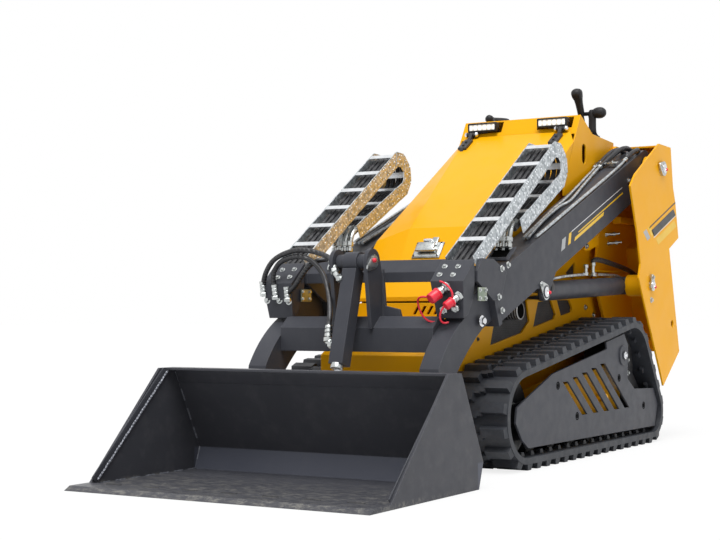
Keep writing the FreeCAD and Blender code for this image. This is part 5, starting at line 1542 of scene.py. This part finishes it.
def makeDeckTrim():
    look = deckLook
    gauges = []
    for y, reach in look["gauges"]:
        gauges.append(makeTurned("gaugeRim", [(0, reach), (5, reach), (7, reach - 2), (7, reach - 5),
                                              (4, reach - 6)], at(look["gaugeX"], y, look["high"]), (0, 0, 1), 32))
    dress(joinAll(gauges, "gaugeRims"), "steelCore", "chassis", 40)
    switches = []
    for y in look["switches"]:
        switches.append(makeTurned("rockerSwitch", [(0, 8), (6, 8), (7, 6), (14, 4), (16, 4)],
                                   at(look["switchX"], y, look["high"]), (0.2, 0, 1), 12))
    dress(joinAll(switches, "deckSwitches"), "mouldedPlastic", "chassis", 40)
    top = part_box("console")[1].z * 1000
    spots = [(at(x, y, top), (0, 0, 1)) for x, y in look["corners"]]
    spots += [(at(x, side * y, z), (0, side, 0)) for side in (-1, 1) for x, z, y in look["sideBolts"]]
    setBolts("deckBolts", spots, "chassis", 0.0085, "blackPaint")


makeDeckTrim()
print("console trim made")

discard(bolt)


def setCamera():
    look = {"place": (5.0296, 2.7012, 0.5784), "lens": 75, "sensor": 36, "tilt": 91.3253, "pan": 121.5443,
            "roll": -0.2785}
    data = bpy.data.cameras.new("viewCamera")
    data.lens = look["lens"]
    data.sensor_width = look["sensor"]
    data.clip_end = 100
    camera = bpy.data.objects.new("viewCamera", data)
    bpy.context.scene.collection.objects.link(camera)
    turn = Matrix.Translation(look["place"])
    for angle, axis in ((look["pan"], "Z"), (look["tilt"], "X"), (look["roll"], "Z")):
        turn = turn @ Matrix.Rotation(math.radians(angle), 4, axis)
    camera.matrix_world = turn
    bpy.context.scene.camera = camera


def mixSurface(tree, share, first, second, outKind):
    mix = tree.nodes.new("ShaderNodeMixShader")
    out = tree.nodes.new(outKind)
    for source, socket in zip((share, first.outputs[0], second.outputs[0]), mix.inputs):
        tree.links.new(source, socket)
    tree.links.new(mix.outputs[0], out.inputs["Surface"])


def setFloor():
    clearPick()
    bpy.ops.mesh.primitive_plane_add(size=60, location=(0, 0, -0.0006))
    floor = bpy.context.object
    floor.name = "studioFloor"
    material = bpy.data.materials.new("paleFloor")
    material.use_nodes = True
    tree = material.node_tree
    tree.nodes.clear()
    matt = addNode(tree, "ShaderNodeBsdfDiffuse", Color=(0.86, 0.86, 0.86, 1))
    glow = addNode(tree, "ShaderNodeEmission", Color=(1, 1, 1, 1), Strength=1.0)
    seen = tree.nodes.new("ShaderNodeLightPath").outputs["Is Camera Ray"]
    mixSurface(tree, combine(tree, "MULTIPLY", seen, 0.82), matt, glow, "ShaderNodeOutputMaterial")
    floor.data.materials.append(material)


def setLight():
    look = {"worldLight": 0.43, "sun": 3.05, "sunSpread": 40, "sunFrom": (0.38, 0.20, 0.90)}
    world = bpy.data.worlds.new("studioWorld")
    bpy.context.scene.world = world
    world.use_nodes = True
    tree = world.node_tree
    tree.nodes.clear()
    soft = addNode(tree, "ShaderNodeBackground", Color=(0.96, 0.98, 1, 1), Strength=look["worldLight"])
    white = addNode(tree, "ShaderNodeBackground", Color=(1, 1, 1, 1), Strength=1)
    rays = tree.nodes.new("ShaderNodeLightPath").outputs
    seen = rays["Is Camera Ray"]
    for kind in ("Is Transmission Ray", "Is Glossy Ray"):
        seen = combine(tree, "MAXIMUM", seen, rays[kind])
    mixSurface(tree, seen, soft, white, "ShaderNodeOutputWorld")
    sun = bpy.data.lights.new("overheadSun", "SUN")
    sun.energy = look["sun"]
    sun.angle = math.radians(look["sunSpread"])
    lamp = bpy.data.objects.new("overheadSun", sun)
    lamp.rotation_euler = Vector(look["sunFrom"]).to_track_quat("Z", "Y").to_euler()
    bpy.context.scene.collection.objects.link(lamp)


setCamera()
setFloor()
setLight()
print("camera, floor and light set")
